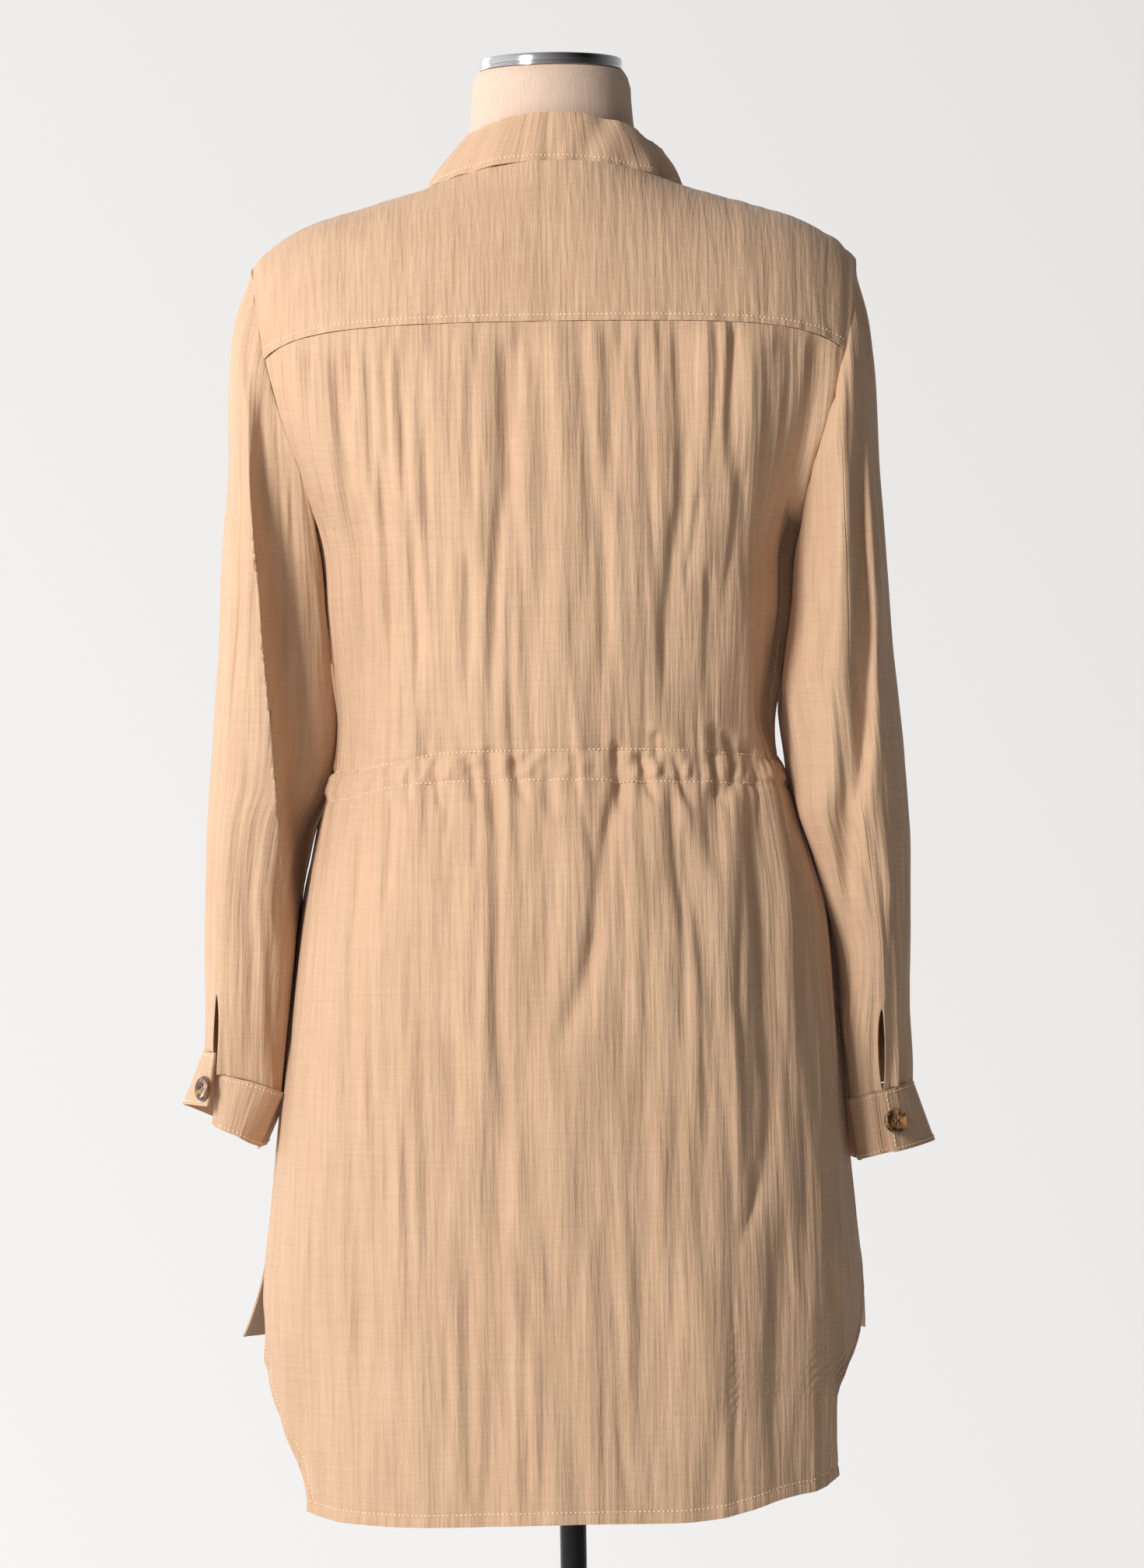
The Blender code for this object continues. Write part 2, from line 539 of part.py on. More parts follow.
def cloth(name, point, finish, **options):
    """A panel of cloth: the open surface of its outer face, thickened inwards."""
    obj = add_object(name, grid_mesh(name, point, **options), finish)
    wall = obj.modifiers.new("cloth wall", "SOLIDIFY")
    wall.thickness = CLOTH
    wall.offset = -1.0
    return obj


def turned(name, profile, finish):
    """A turned piece: its half profile, outer side from top to bottom, carried round Z."""
    mesh = bpy.data.meshes.new(name)
    points = [(radius, 0.0, height) for radius, height in profile]
    mesh.from_pydata(points, [(n, n + 1) for n in range(len(points) - 1)], [])
    obj = add_object(name, mesh, finish)
    screw = obj.modifiers.new("turned", "SCREW")
    screw.steps = TURNED_STEPS
    screw.render_steps = TURNED_STEPS
    screw.use_merge_vertices = True
    screw.merge_threshold = 0.00005
    return obj


def ringed_solid(name, rings, finish):
    """A closed solid lofted through a table of rings, with a flat face at each end."""
    angle = np.linspace(0.0, 360.0, FORM_SIDES + 1)[:-1]
    levels = rings[:, 0]
    point = np.stack([ring_point(rings[n:n + 1], angle, np.full_like(angle, level))
                      for n, level in enumerate(levels)])
    rows, columns = point.shape[:2]
    index = np.arange(rows * columns).reshape(rows, columns)
    right = np.roll(index, -1, axis=1)
    quads = np.stack([index[:-1], right[:-1], right[1:], index[1:]], axis=-1).reshape(-1, 4)
    faces = quads.tolist() + [index[0, ::-1].tolist(), index[-1].tolist()]
    mesh = bpy.data.meshes.new(name)
    mesh.from_pydata(point.reshape(-1, 3).tolist(), [], faces)
    mesh.shade_smooth()
    return add_object(name, mesh, finish)


def cuff_button(name, side, finish):
    """A round button on the outer face of the cuff, near the end beside the slit."""
    point = cuff_points(side)
    end, inner = point[:, SLEEVE_ROUND], point[:, SLEEVE_ROUND - 1]
    seat = (end[1] + inner[1]) / 2
    across = inner[1] - end[1]
    down = end[2] - end[0]
    normal = Vector(np.cross(across, down) * side["sign"]).normalized()
    half = BUTTON_THICKNESS / 2
    rim = 0.0007
    profile = [(0.0, half - rim), (BUTTON_RADIUS - 3 * rim, half - rim), (BUTTON_RADIUS - 2 * rim, half),
               (BUTTON_RADIUS - rim, half), (BUTTON_RADIUS, half - rim), (BUTTON_RADIUS, rim - half),
               (BUTTON_RADIUS - rim, -half), (0.0, -half)]
    obj = turned(name, profile, finish)
    obj.location = Vector(seat) + normal * (half + 2 * SEAM_GAP)
    obj.rotation_euler = normal.to_track_quat("Z", "Y").to_euler()
    return obj


clear_scene()
COLLECTION = bpy.data.collections.new("tunic on dress form")
bpy.context.scene.collection.children.link(COLLECTION)

linen = material("tan crinkled cloth", (0.62, 0.41, 0.25), 0.75)
jersey = material("pale jersey", (0.60, 0.43, 0.36), 0.85)
chrome = material("chrome", (0.80, 0.80, 0.82), 0.10, 1.0)
black_steel = material("black steel", (0.02, 0.02, 0.022), 0.35, 0.6)
horn = material("brown horn", (0.16, 0.08, 0.04), 0.30)

cloth("back", back_points(), linen)
cloth("yoke", yoke_points(), linen)
cloth("front", front_points(), linen, skip_column=FRONT_HALF_ACROSS)
cloth("collar", collar_points(), linen, flip=True)
for side_name, side in SIDES.items():
    cloth(f"placket_{side_name}", placket_points(side["sign"]), linen, flip=side["sign"] > 0)
    cloth(f"sleeve_{side_name}", sleeve_points(side), linen, flip=side["sign"] > 0)
    cloth(f"cuff_{side_name}", cuff_points(side), linen, flip=side["sign"] > 0)
    cuff_button(f"cuff_button_{side_name}", side, horn)

ringed_solid("form_torso", FORM_RINGS, jersey)
form_top = FORM_RINGS[0, 0] + SEAM_GAP
turned("neck_cap", [(0.0, form_top + CAP_HEIGHT + 0.0012), (CAP_RADIUS * 0.6, form_top + CAP_HEIGHT + 0.0009),
                    (CAP_RADIUS - 0.002, form_top + CAP_HEIGHT), (CAP_RADIUS, form_top + CAP_HEIGHT - 0.002),
                    (CAP_RADIUS, form_top + 0.001), (CAP_RADIUS - 0.001, form_top), (0.0, form_top)], chrome)
socket_top = FORM_BOTTOM - SEAM_GAP
socket_bottom = socket_top - SOCKET_HEIGHT
turned("form_socket", [(0.0, socket_top), (SOCKET_RADIUS - 0.001, socket_top),
                       (SOCKET_RADIUS, socket_top - 0.001), (SOCKET_RADIUS, socket_bottom + 0.001),
                       (SOCKET_RADIUS - 0.001, socket_bottom), (0.0, socket_bottom)], black_steel)
pole_top = socket_bottom - SEAM_GAP
turned("stand_pole", [(0.0, pole_top), (POLE_RADIUS, pole_top), (POLE_RADIUS, POLE_FOOT), (0.0, POLE_FOOT)],
       black_steel)
hub_bore = POLE_RADIUS + SEAM_GAP
hub_foot = BASE_HEIGHT + SEAM_GAP
turned("stand_hub", [(hub_bore, hub_foot + HUB_HEIGHT), (HUB_RADIUS - 0.003, hub_foot + HUB_HEIGHT),
                     (HUB_RADIUS, hub_foot + HUB_HEIGHT - 0.003), (HUB_RADIUS, hub_foot + 0.008),
                     (HUB_RADIUS + 0.010, hub_foot + 0.003), (HUB_RADIUS + 0.010, hub_foot),
                     (hub_bore, hub_foot), (hub_bore, hub_foot + HUB_HEIGHT)], black_steel)
turned("stand_base", [(0.0, BASE_HEIGHT), (BASE_RADIUS - 0.004, BASE_HEIGHT - 0.001),
                      (BASE_RADIUS, BASE_HEIGHT - 0.004), (BASE_RADIUS, 0.002),
                      (BASE_RADIUS - 0.002, 0.0), (0.0, 0.0)], black_steel)
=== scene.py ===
"""Looks of a long shirt-style tunic top on a limbless dress form and its round stand.

Metres, +Z up, the wearer faces -Y and the wearer's left is +X. Each cloth piece is a thin shell that
repeats its solid's form with its own folds, gathers, crinkle, seams and thread.
"""

import bmesh
import bpy
import numpy as np
from mathutils import Matrix, Vector


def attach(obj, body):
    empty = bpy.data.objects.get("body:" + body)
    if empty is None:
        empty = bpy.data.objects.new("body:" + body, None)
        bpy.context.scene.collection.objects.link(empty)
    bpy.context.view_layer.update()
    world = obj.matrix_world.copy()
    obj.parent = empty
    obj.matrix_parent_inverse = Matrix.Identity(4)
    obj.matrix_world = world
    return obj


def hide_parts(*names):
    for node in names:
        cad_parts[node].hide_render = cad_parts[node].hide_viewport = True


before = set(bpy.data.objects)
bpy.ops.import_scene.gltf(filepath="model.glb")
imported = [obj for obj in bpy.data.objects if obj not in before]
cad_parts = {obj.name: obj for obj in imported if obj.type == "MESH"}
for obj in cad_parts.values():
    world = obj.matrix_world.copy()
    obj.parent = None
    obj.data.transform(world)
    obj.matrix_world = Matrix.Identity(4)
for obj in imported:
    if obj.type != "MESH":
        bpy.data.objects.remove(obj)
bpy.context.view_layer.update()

# ---------------------------------------------------------------- back
# The back is one long panel of tan viscose and linen cloth, woven plain and crinkled lengthways. It is
# gathered a little into the yoke seam, drawn in at the waist by a casing between two stitch rows, and
# ends in a rounded tail with a narrow turned hem.
CLOTH_WALL = 0.0011
UNDERARM_LEVEL = 1.195
SHOULDER_LEVEL = 1.322
NECK_LEVEL = 1.4265
ARMHOLE_BACK = 30.0
ARMHOLE_FRONT = 32.0
SHOULDER_SEAM = 113.0
SIDE_SEAM = 89.85
SIDE_SLIT_TOP = 0.715
SEAM_GAP = 0.0003
ARMHOLE_MIDDLE = (SHOULDER_LEVEL + UNDERARM_LEVEL) / 2
ARMHOLE_HALF = (SHOULDER_LEVEL - UNDERARM_LEVEL) / 2
BACK_LENGTH = 0.62        # metres of cloth from the underarm to the hem
BACK_HALF = 0.24          # metres of cloth from the middle to a side seam
HEM_TURNED = 0.0075       # from the hem to its row of thread
SIDE_TURNED = 0.0095      # from the side seam to its row of thread
ON_CLOTH = 0.0001         # how far thread lies out from the cloth

# Rings of the torso cloth, neck to hem: level is the height at the centre back, the two rises lift the
# sides and the front, and roundness 1 is an ellipse, less is squarer.
RING_COLUMNS = ("level", "side_rise", "front_rise", "half_width", "back_depth", "front_depth",
                "roundness", "middle_x")
HALF_WIDTH = RING_COLUMNS.index("half_width")
TORSO_RINGS = np.array([
    (1.4265, -0.0145, -0.0515, 0.0830, 0.062, 0.072, 0.98, -0.0010),
    (1.3920, 0.0110, -0.0400, 0.1210, 0.078, 0.086, 0.93, 0.0000),
    (1.3570, 0.0320, -0.0270, 0.1630, 0.089, 0.096, 0.87, 0.0000),
    (1.3220, 0.0435, -0.0170, 0.1930, 0.096, 0.103, 0.85, 0.0000),
    (1.2850, 0.0400, -0.0080, 0.2060, 0.100, 0.109, 0.83, 0.0000),
    (1.2500, 0.0200, -0.0030, 0.1960, 0.103, 0.115, 0.82, 0.0000),
    (1.2220, 0.0050, 0.0000, 0.1743, 0.103, 0.119, 0.82, 0.0000),
    (1.1950, 0.0000, 0.0000, 0.1570, 0.102, 0.121, 0.82, 0.0000),
    (1.1400, 0.0000, 0.0000, 0.1490, 0.097, 0.119, 0.83, 0.0000),
    (1.1000, 0.0000, 0.0000, 0.1440, 0.092, 0.114, 0.84, 0.0015),
    (1.0700, 0.0000, 0.0000, 0.1400, 0.088, 0.108, 0.84, 0.0030),
    (1.0450, 0.0000, 0.0000, 0.1420, 0.086, 0.105, 0.84, 0.0030),
    (1.0170, 0.0000, 0.0000, 0.1510, 0.093, 0.107, 0.84, 0.0020),
    (0.9650, 0.0000, 0.0000, 0.1655, 0.110, 0.113, 0.84, 0.0000),
    (0.8850, 0.0000, 0.0000, 0.1760, 0.122, 0.120, 0.84, 0.0015),
    (0.7850, 0.0000, 0.0000, 0.1850, 0.126, 0.125, 0.84, 0.0035),
    (0.7000, 0.0000, 0.0000, 0.1930, 0.129, 0.130, 0.84, 0.0035),
    (0.6200, 0.0000, 0.0000, 0.1920, 0.131, 0.133, 0.85, 0.0035),
    (0.5400, 0.0000, 0.0000, 0.1880, 0.133, 0.135, 0.86, 0.0035),
])
# How far the tail's edges turn in below the side slits, in degrees: level, left, right.
BACK_TAIL = np.array([
    (1.195, 0.0, 0.0),
    (0.735, 0.0, 0.0),
    (0.715, 0.0, 0.0),
    (0.680, 6.0, 14.0),
    (0.655, 14.0, 27.0),
    (0.620, 27.0, 30.0),
    (0.590, 32.0, 28.0),
    (0.560, 32.0, 24.0),
])
# The tail's hem from the wearer's right edge (-1) to the left edge (1).
BACK_HEM = np.array([(-1.00, 0.5930), (-0.92, 0.5880), (-0.68, 0.5820), (-0.45, 0.5730), (0.00, 0.5715),
                     (0.60, 0.5700), (0.90, 0.5730), (1.00, 0.5760)])
# The waist casing: distance from the centre line, then the heights of its upper and lower stitch rows.
CASING = np.array([
    (-0.160, 1.0440, 1.0270),
    (-0.120, 1.0490, 1.0312),
    (-0.060, 1.0525, 1.0330),
    (0.000, 1.0532, 1.0348),
    (0.045, 1.0528, 1.0346),
    (0.080, 1.0515, 1.0340),
    (0.108, 1.0462, 1.0310),
    (0.134, 1.0420, 1.0240),
    (0.160, 1.0410, 1.0230),
])

# Folds of the back: heights of the two ends, distance from the centre line at the top, the middle
# and the bottom (the wearer's left is plus), half-width, depth into the cloth (minus is a ridge), and
# lean, which steepens the side towards the wearer's left.
FOLD_COLUMNS = ("top", "bottom", "x_top", "x_middle", "x_bottom", "width", "depth", "lean")
BACK_FOLDS = np.array([
    (1.303, 1.173, 0.138, 0.136, 0.128, 0.0038, 0.0058, 0.3),
    (1.212, 1.078, 0.129, 0.128, 0.129, 0.0042, 0.0070, 0.3),
    (1.306, 1.261, 0.130, 0.130, 0.130, 0.0020, 0.0016, 0.0),
    (1.307, 1.207, 0.119, 0.118, 0.118, 0.0030, 0.0028, 0.2),
    (1.312, 1.212, 0.108, 0.107, 0.107, 0.0025, 0.0013, 0.0),
    (1.317, 1.212, 0.097, 0.097, 0.095, 0.0040, 0.0032, 0.2),
    (1.330, 1.250, 0.066, 0.065, 0.064, 0.0020, 0.0020, 0.2),
    (1.231, 1.104, 0.076, 0.074, 0.078, 0.0040, 0.0014, 0.0),
    (1.308, 1.201, 0.031, 0.032, 0.031, 0.0046, 0.0070, 0.3),
    (1.221, 1.077, 0.033, 0.040, 0.042, 0.0036, 0.0045, 0.1),
    (1.211, 1.084, 0.027, 0.022, 0.023, 0.0032, 0.0022, 0.1),
    (1.330, 1.250, 0.022, 0.024, 0.026, 0.0020, 0.0020, 0.2),
    (1.330, 1.181, 0.006, 0.005, 0.004, 0.0060, 0.0020, 0.0),
    (1.186, 1.079, 0.006, 0.008, 0.010, 0.0042, 0.0016, 0.0),
    (1.308, 1.171, -0.015, -0.021, -0.024, 0.0032, 0.0018, 0.1),
    (1.322, 1.210, -0.036, -0.034, -0.035, 0.0042, 0.0030, 0.1),
    (1.210, 1.083, -0.026, -0.029, -0.026, 0.0042, 0.0024, 0.1),
    (1.322, 1.141, -0.054, -0.057, -0.067, 0.0032, 0.0016, 0.0),
    (1.335, 1.185, -0.076, -0.079, -0.078, 0.0046, 0.0055, 0.4),
    (1.209, 1.075, -0.080, -0.069, -0.067, 0.0046, 0.0042, 0.2),
    (1.214, 1.151, -0.090, -0.086, -0.078, 0.0026, 0.0020, 0.2),
    (1.330, 1.224, -0.118, -0.110, -0.112, 0.0036, 0.0034, 0.3),
    (1.228, 1.136, -0.118, -0.110, -0.103, 0.0030, 0.0025, 0.3),
    (1.170, 1.077, -0.095, -0.094, -0.092, 0.0036, 0.0028, 0.2),
    (1.325, 1.131, -0.145, -0.137, -0.132, 0.0060, 0.0080, 0.3),
    (1.179, 1.060, -0.134, -0.131, -0.128, 0.0046, 0.0048, 0.2),
    (1.325, 1.140, -0.171, -0.157, -0.145, 0.0062, 0.0110, -0.2),
    (1.240, 1.082, 0.112, 0.110, 0.106, 0.0034, 0.0042, 0.3),
    (1.205, 1.078, 0.093, 0.091, 0.092, 0.0032, 0.0036, 0.3),
    (1.260, 1.130, 0.084, 0.082, 0.080, 0.0030, 0.0026, 0.2),
    (1.300, 1.190, 0.053, 0.054, 0.052, 0.0032, 0.0026, 0.2),
    (1.180, 1.080, 0.056, 0.058, 0.060, 0.0034, 0.0030, 0.2),
    (1.034, 0.894, -0.038, -0.021, -0.018, 0.0036, 0.0042, 0.4),
    (0.947, 0.865, -0.021, -0.009, 0.011, 0.0040, 0.0035, 0.3),
    (1.035, 0.981, -0.010, -0.014, -0.022, 0.0025, 0.0026, 0.2),
    (0.949, 0.871, 0.098, 0.097, 0.100, 0.0036, 0.0016, 0.1),
    (0.885, 0.788, 0.071, 0.070, 0.070, 0.0040, 0.0018, 0.1),
    (1.033, 0.744, 0.041, 0.042, 0.040, 0.0050, 0.0026, 0.1),
    (0.793, 0.623, 0.041, 0.040, 0.039, 0.0045, 0.0016, 0.1),
    (1.006, 0.875, 0.005, 0.009, 0.014, 0.0040, 0.0018, 0.1),
    (1.032, 0.937, -0.069, -0.072, -0.077, 0.0040, 0.0036, 0.3),
    (1.005, 0.893, -0.076, -0.084, -0.088, 0.0045, 0.0034, 0.3),
    (1.031, 0.975, -0.094, -0.095, -0.097, 0.0045, 0.0040, 0.3),
    (1.031, 0.849, -0.120, -0.127, -0.129, 0.0065, 0.0055, 0.3),
    (0.873, 0.761, -0.128, -0.127, -0.112, 0.0050, 0.0030, 0.2),
    (0.892, 0.776, -0.106, -0.107, -0.107, 0.0045, -0.0026, 0.0),
    (0.790, 0.742, -0.120, -0.116, -0.102, 0.0026, 0.0026, 0.2),
    (0.862, 0.736, 0.102, 0.103, 0.104, 0.0040, -0.0014, 0.0),
    (0.742, 0.597, -0.085, -0.085, -0.083, 0.0070, -0.0024, 0.0),
    (0.762, 0.607, -0.049, -0.043, -0.039, 0.0050, 0.0018, 0.1),
    (0.763, 0.598, 0.015, 0.010, 0.007, 0.0045, 0.0015, 0.1),
    (0.765, 0.600, 0.134, 0.131, 0.129, 0.0050, 0.0016, 0.1),
    (0.761, 0.606, -0.136, -0.130, -0.124, 0.0055, 0.0026, 0.1),
    (0.764, 0.599, 0.068, 0.064, 0.064, 0.0045, 0.0015, 0.1),
    (1.046, 1.020, 0.056, 0.056, 0.054, 0.0022, 0.0026, 0.2),
    (1.054, 1.004, 0.046, 0.045, 0.043, 0.0026, 0.0042, 0.3),
    (1.050, 1.018, 0.031, 0.027, 0.021, 0.0024, 0.0030, 0.2),
    (1.047, 1.010, 0.010, 0.009, 0.007, 0.0024, 0.0032, 0.2),
    (1.054, 1.026, -0.008, -0.008, -0.010, 0.0022, 0.0024, 0.1),
    (1.058, 1.014, -0.034, -0.036, -0.038, 0.0028, 0.0050, 0.3),
    (1.052, 1.018, -0.049, -0.054, -0.061, 0.0024, 0.0032, 0.2),
    (1.064, 1.042, -0.060, -0.060, -0.062, 0.0022, 0.0026, 0.1),
    (1.050, 1.016, -0.071, -0.076, -0.083, 0.0026, 0.0034, 0.2),
    (1.068, 1.042, -0.098, -0.098, -0.100, 0.0024, 0.0030, 0.2),
    (1.052, 1.016, -0.095, -0.099, -0.105, 0.0026, 0.0036, 0.2),
    (1.064, 1.024, -0.103, -0.110, -0.105, 0.0030, 0.0054, 0.3),
    (1.058, 1.028, -0.119, -0.120, -0.125, 0.0026, 0.0034, 0.2),
    (1.040, 1.016, 0.080, 0.079, 0.076, 0.0022, 0.0022, 0.1),
    (1.042, 1.016, 0.096, 0.097, 0.096, 0.0022, 0.0022, 0.1),
    (1.036, 0.997, 0.071, 0.072, 0.075, 0.0025, 0.0018, 0.1),
    (1.036, 0.973, 0.053, 0.054, 0.057, 0.0025, 0.0018, 0.1),
    (1.035, 0.977, 0.010, 0.011, 0.014, 0.0025, 0.0020, 0.1),
    (1.027, 0.949, 0.108, 0.110, 0.115, 0.0030, 0.0016, 0.1),
    (1.022, 0.911, 0.122, 0.132, 0.136, 0.0036, 0.0018, 0.1),
])
# On the wearer's right the back breaks in a long ridge beside the arm: level, distance of the ridge from
# the middle, and how far the cloth falls away beyond it.
BACK_FLANK = np.array([
    (1.300, -0.1380, 0.000),
    (1.250, -0.1320, 0.004),
    (1.200, -0.1270, 0.008),
    (1.080, -0.1225, 0.009),
    (1.056, -0.1220, 0.004),
    (1.040, -0.1220, 0.000),
])
# The front isn't seen, so its folds are like the back's.
FRONT_FOLDS = np.array([
    (1.240, 1.075, 0.104, 0.108, 0.112, 0.0050, 0.0050, 0.3),
    (1.250, 1.080, 0.058, 0.066, 0.070, 0.0042, 0.0042, 0.2),
    (1.200, 1.078, 0.030, 0.027, 0.024, 0.0038, 0.0032, 0.1),
    (1.225, 1.080, -0.034, -0.036, -0.040, 0.0044, 0.0042, 0.2),
    (1.245, 1.075, -0.086, -0.090, -0.096, 0.0050, 0.0052, 0.3),
    (1.180, 1.078, -0.006, -0.004, -0.006, 0.0036, 0.0022, 0.0),
    (1.160, 1.072, 0.090, 0.088, 0.090, 0.0034, 0.0022, 0.1),
    (1.210, 1.090, -0.062, -0.066, -0.066, 0.0032, 0.0020, 0.1),
    (1.034, 0.760, 0.090, 0.098, 0.108, 0.0052, 0.0046, 0.3),
    (1.034, 0.720, 0.036, 0.040, 0.050, 0.0055, 0.0050, 0.2),
    (1.034, 0.760, -0.020, -0.024, -0.030, 0.0048, 0.0036, 0.1),
    (1.034, 0.730, -0.082, -0.090, -0.100, 0.0058, 0.0052, 0.3),
    (1.030, 0.900, 0.064, 0.066, 0.074, 0.0034, 0.0026, 0.2),
    (1.030, 0.860, 0.006, 0.004, 0.006, 0.0036, 0.0022, 0.1),
    (1.030, 0.880, -0.052, -0.056, -0.060, 0.0034, 0.0028, 0.2),
    (0.900, 0.700, -0.060, -0.056, -0.052, 0.0046, 0.0020, 0.1),
    (0.880, 0.720, 0.010, 0.014, 0.012, 0.0044, 0.0018, 0.1),
    (0.860, 0.700, 0.078, 0.076, 0.080, 0.0046, 0.0022, 0.1),
])


def read(table, n, at):
    """Column n of a table, read at values of its first column: a cubic that keeps each row's slope."""
    order = np.argsort(table[:, 0])
    k = table[order, 0]
    v = table[order, n]
    if len(k) == 1:
        return np.full(np.shape(at), v[0])
    slope = np.gradient(v, k)
    at = np.clip(at, k[0], k[-1])
    i = np.clip(np.searchsorted(k, at, side="right") - 1, 0, len(k) - 2)
    step = k[i + 1] - k[i]
    t = (at - k[i]) / step
    start = (1 + 2 * t) * (1 - t) ** 2 * v[i] + t * (1 - t) ** 2 * step * slope[i]
    end = t * t * (3 - 2 * t) * v[i + 1] + t * t * (t - 1) * step * slope[i + 1]
    return start + end


def read_all(table, names, at):
    """Every column of a table under its name."""
    return {name: read(table, n, at) for n, name in enumerate(names)}


def smooth_step(t):
    """0 below 0, 1 above 1, and 3 t^2 - 2 t^3 between."""
    t = np.clip(t, 0.0, 1.0)
    return t * t * (3.0 - 2.0 * t)


def bell(x, width, power=2):
    """e^-(x / width)^power: 1 at x = 0 and fading to 0; power 1 fades one way, 4 is flatter."""
    return np.exp(-(x / width) ** power)


def grids(a, b):
    """Two numbers or arrays as float arrays of one shape."""
    return np.broadcast_arrays(np.asarray(a, float), np.asarray(b, float))


def flat_uv(across, along):
    """UV in metres from the distances across and along the cloth."""
    return np.stack(grids(across, along), axis=-1)


def ring_point(rings, angle, level):
    """Squared ellipse: x = w sgn(s)|s|^r, y = d sgn(c)|c|^r, lifted by s^2 at the sides, c^2 ahead."""
    row = read_all(rings, RING_COLUMNS, level)
    s = np.sin(np.radians(angle))
    c = np.cos(np.radians(angle))
    depth = np.where(c > 0, row["back_depth"], row["front_depth"])
    x = row["middle_x"] + row["half_width"] * np.sign(s) * np.abs(s) ** row["roundness"]
    y = depth * np.sign(c) * np.abs(c) ** row["roundness"]
    z = level + row["side_rise"] * s * s + row["front_rise"] * np.where(c < 0, c * c, 0.0)
    return np.stack([x, y, z], axis=-1)


def outward(base, a, b, step_a, step_b):
    """Unit normal of a surface base(a, b): the cross product of its two differences."""
    across = base(a + step_a, b) - base(a - step_a, b)
    down = base(a, b - step_b) - base(a, b + step_b)
    normal = np.cross(across, down)
    return normal / np.maximum(np.linalg.norm(normal, axis=-1, keepdims=True), 1e-12)


def soft_noise(u, v, cell_u, cell_v, seed):
    """Random heights from -1 to 1 on a lattice of cells, joined by smooth steps."""
    heights = np.random.default_rng(seed).uniform(-1.0, 1.0, (128, 128))
    a = u / cell_u + 60.0
    b = v / cell_v + 20.0
    column = np.floor(a).astype(int)
    row = np.floor(b).astype(int)
    ta = smooth_step(a - column)
    tb = smooth_step(b - row)
    column %= 127
    row %= 127
    upper = heights[row, column] * (1.0 - ta) + heights[row, column + 1] * ta
    lower = heights[row + 1, column] * (1.0 - ta) + heights[row + 1, column + 1] * ta
    return upper * (1.0 - tb) + lower * tb


def cloth_run(angle, x):
    """Distance across the cloth: x, plus k (1 - |cos|)^2 for the turn round each side."""
    away = 1.0 - np.abs(np.cos(np.radians(angle)))
    ahead = np.where(np.cos(np.radians(angle)) < 0, 0.7, 0.0)
    return x + np.sign(np.sin(np.radians(angle))) * 0.07 * away ** 2 + ahead


def crinkle(u, v, seed):
    """The cloth's own lengthways crinkle: wide swells, creases |n|, and finer noise, all swaying."""
    u = u + 0.0035 * soft_noise(u, v, 0.050, 0.110, seed)
    wide = soft_noise(u, v, 0.0250, 0.300, seed + 4)
    broad = soft_noise(u, v, 0.0120, 0.130, seed + 1)
    middle = soft_noise(u, v, 0.0060, 0.060, seed + 2)
    fine = soft_noise(u, v, 0.0034, 0.024, seed + 3)
    creased = np.sqrt(broad * broad + 0.004) - 0.4
    return 0.0019 * wide + 0.0023 * creased + 0.00075 * middle + 0.00024 * fine


def fold_depth(x, z, folds):
    """Sum of soft troughs: a curved line down the cloth, a narrow and a wide leaning bell across, and
    long fading ends."""
    total = np.zeros(np.shape(x))
    for top, bottom, x_top, x_middle, x_bottom, width, depth, lean in folds:
        t = (top - z) / (top - bottom) * 0.84 + 0.06
        c = np.clip(t, 0.0, 1.0)
        line = (1 - c) * (1 - 2 * c) * x_top + 4 * c * (1 - c) * x_middle + c * (2 * c - 1) * x_bottom
        off = (x - line) / width
        off = off * np.where(off > 0, 1.0 + lean, 1.0 - lean)
        fade = smooth_step(t / 0.22) * smooth_step((1.0 - t) / 0.42)
        total += depth * fade * (0.80 * bell(off, 1.0) + 0.45 * bell(off, 2.8))
    return total


def armhole_angle(level, reach):
    """Angle from the side line to the armhole's edge, an ellipse in angle and level."""
    return reach * np.sqrt(np.clip(1.0 - ((level - ARMHOLE_MIDDLE) / ARMHOLE_HALF) ** 2, 0.0, 1.0))


def yoke_seam_level(angle):
    """Level of the seam between the yoke and the back: flat in the middle, lower at the armholes."""
    side = np.sin(np.radians(angle)) ** 2
    return SHOULDER_LEVEL - 0.0435 * side - 0.012 * (np.abs(angle) / 60.0) ** 3


def yoke_corner():
    """Angle at which the yoke seam meets the back of the armhole."""
    angle = 60.0
    for _ in range(40):
        angle = 90.0 - armhole_angle(yoke_seam_level(angle), ARMHOLE_BACK)
    return float(angle)


def casing_height(u, x, level, behind):
    """Waist casing in metres: a pinched line at each stitch row, a soft swell and gathers between."""
    upper = read(CASING, 1, np.where(behind, x, -x))
    lower = read(CASING, 2, np.where(behind, x, -x))
    t = (upper - level) / (upper - lower)
    inside = smooth_step(t / 0.25) * smooth_step((1.0 - t) / 0.25)
    rows = bell(level - upper, 0.0018) + bell(level - lower, 0.0018)
    slant = u + 0.25 * (level - upper)
    gathers = soft_noise(slant, level, 0.0070, 0.0140, 71)
    gathers = gathers + 0.6 * soft_noise(slant, level, 0.0040, 0.0100, 72)
    near = bell(np.maximum(lower - level, 0.0), 0.030, 1) * (level < lower)
    near = near + bell(np.maximum(level - upper, 0.0), 0.022, 1) * (level > upper)
    pull = soft_noise(u, level, 0.0062, 0.050, 73)
    swell = 0.0009 * inside + 0.0016 * gathers * inside
    return swell - 0.0009 * rows * (0.7 + 0.3 * pull) + 0.0014 * pull * near * (1 - inside)


def torso_base(angle, level):
    return ring_point(TORSO_RINGS, angle, level)


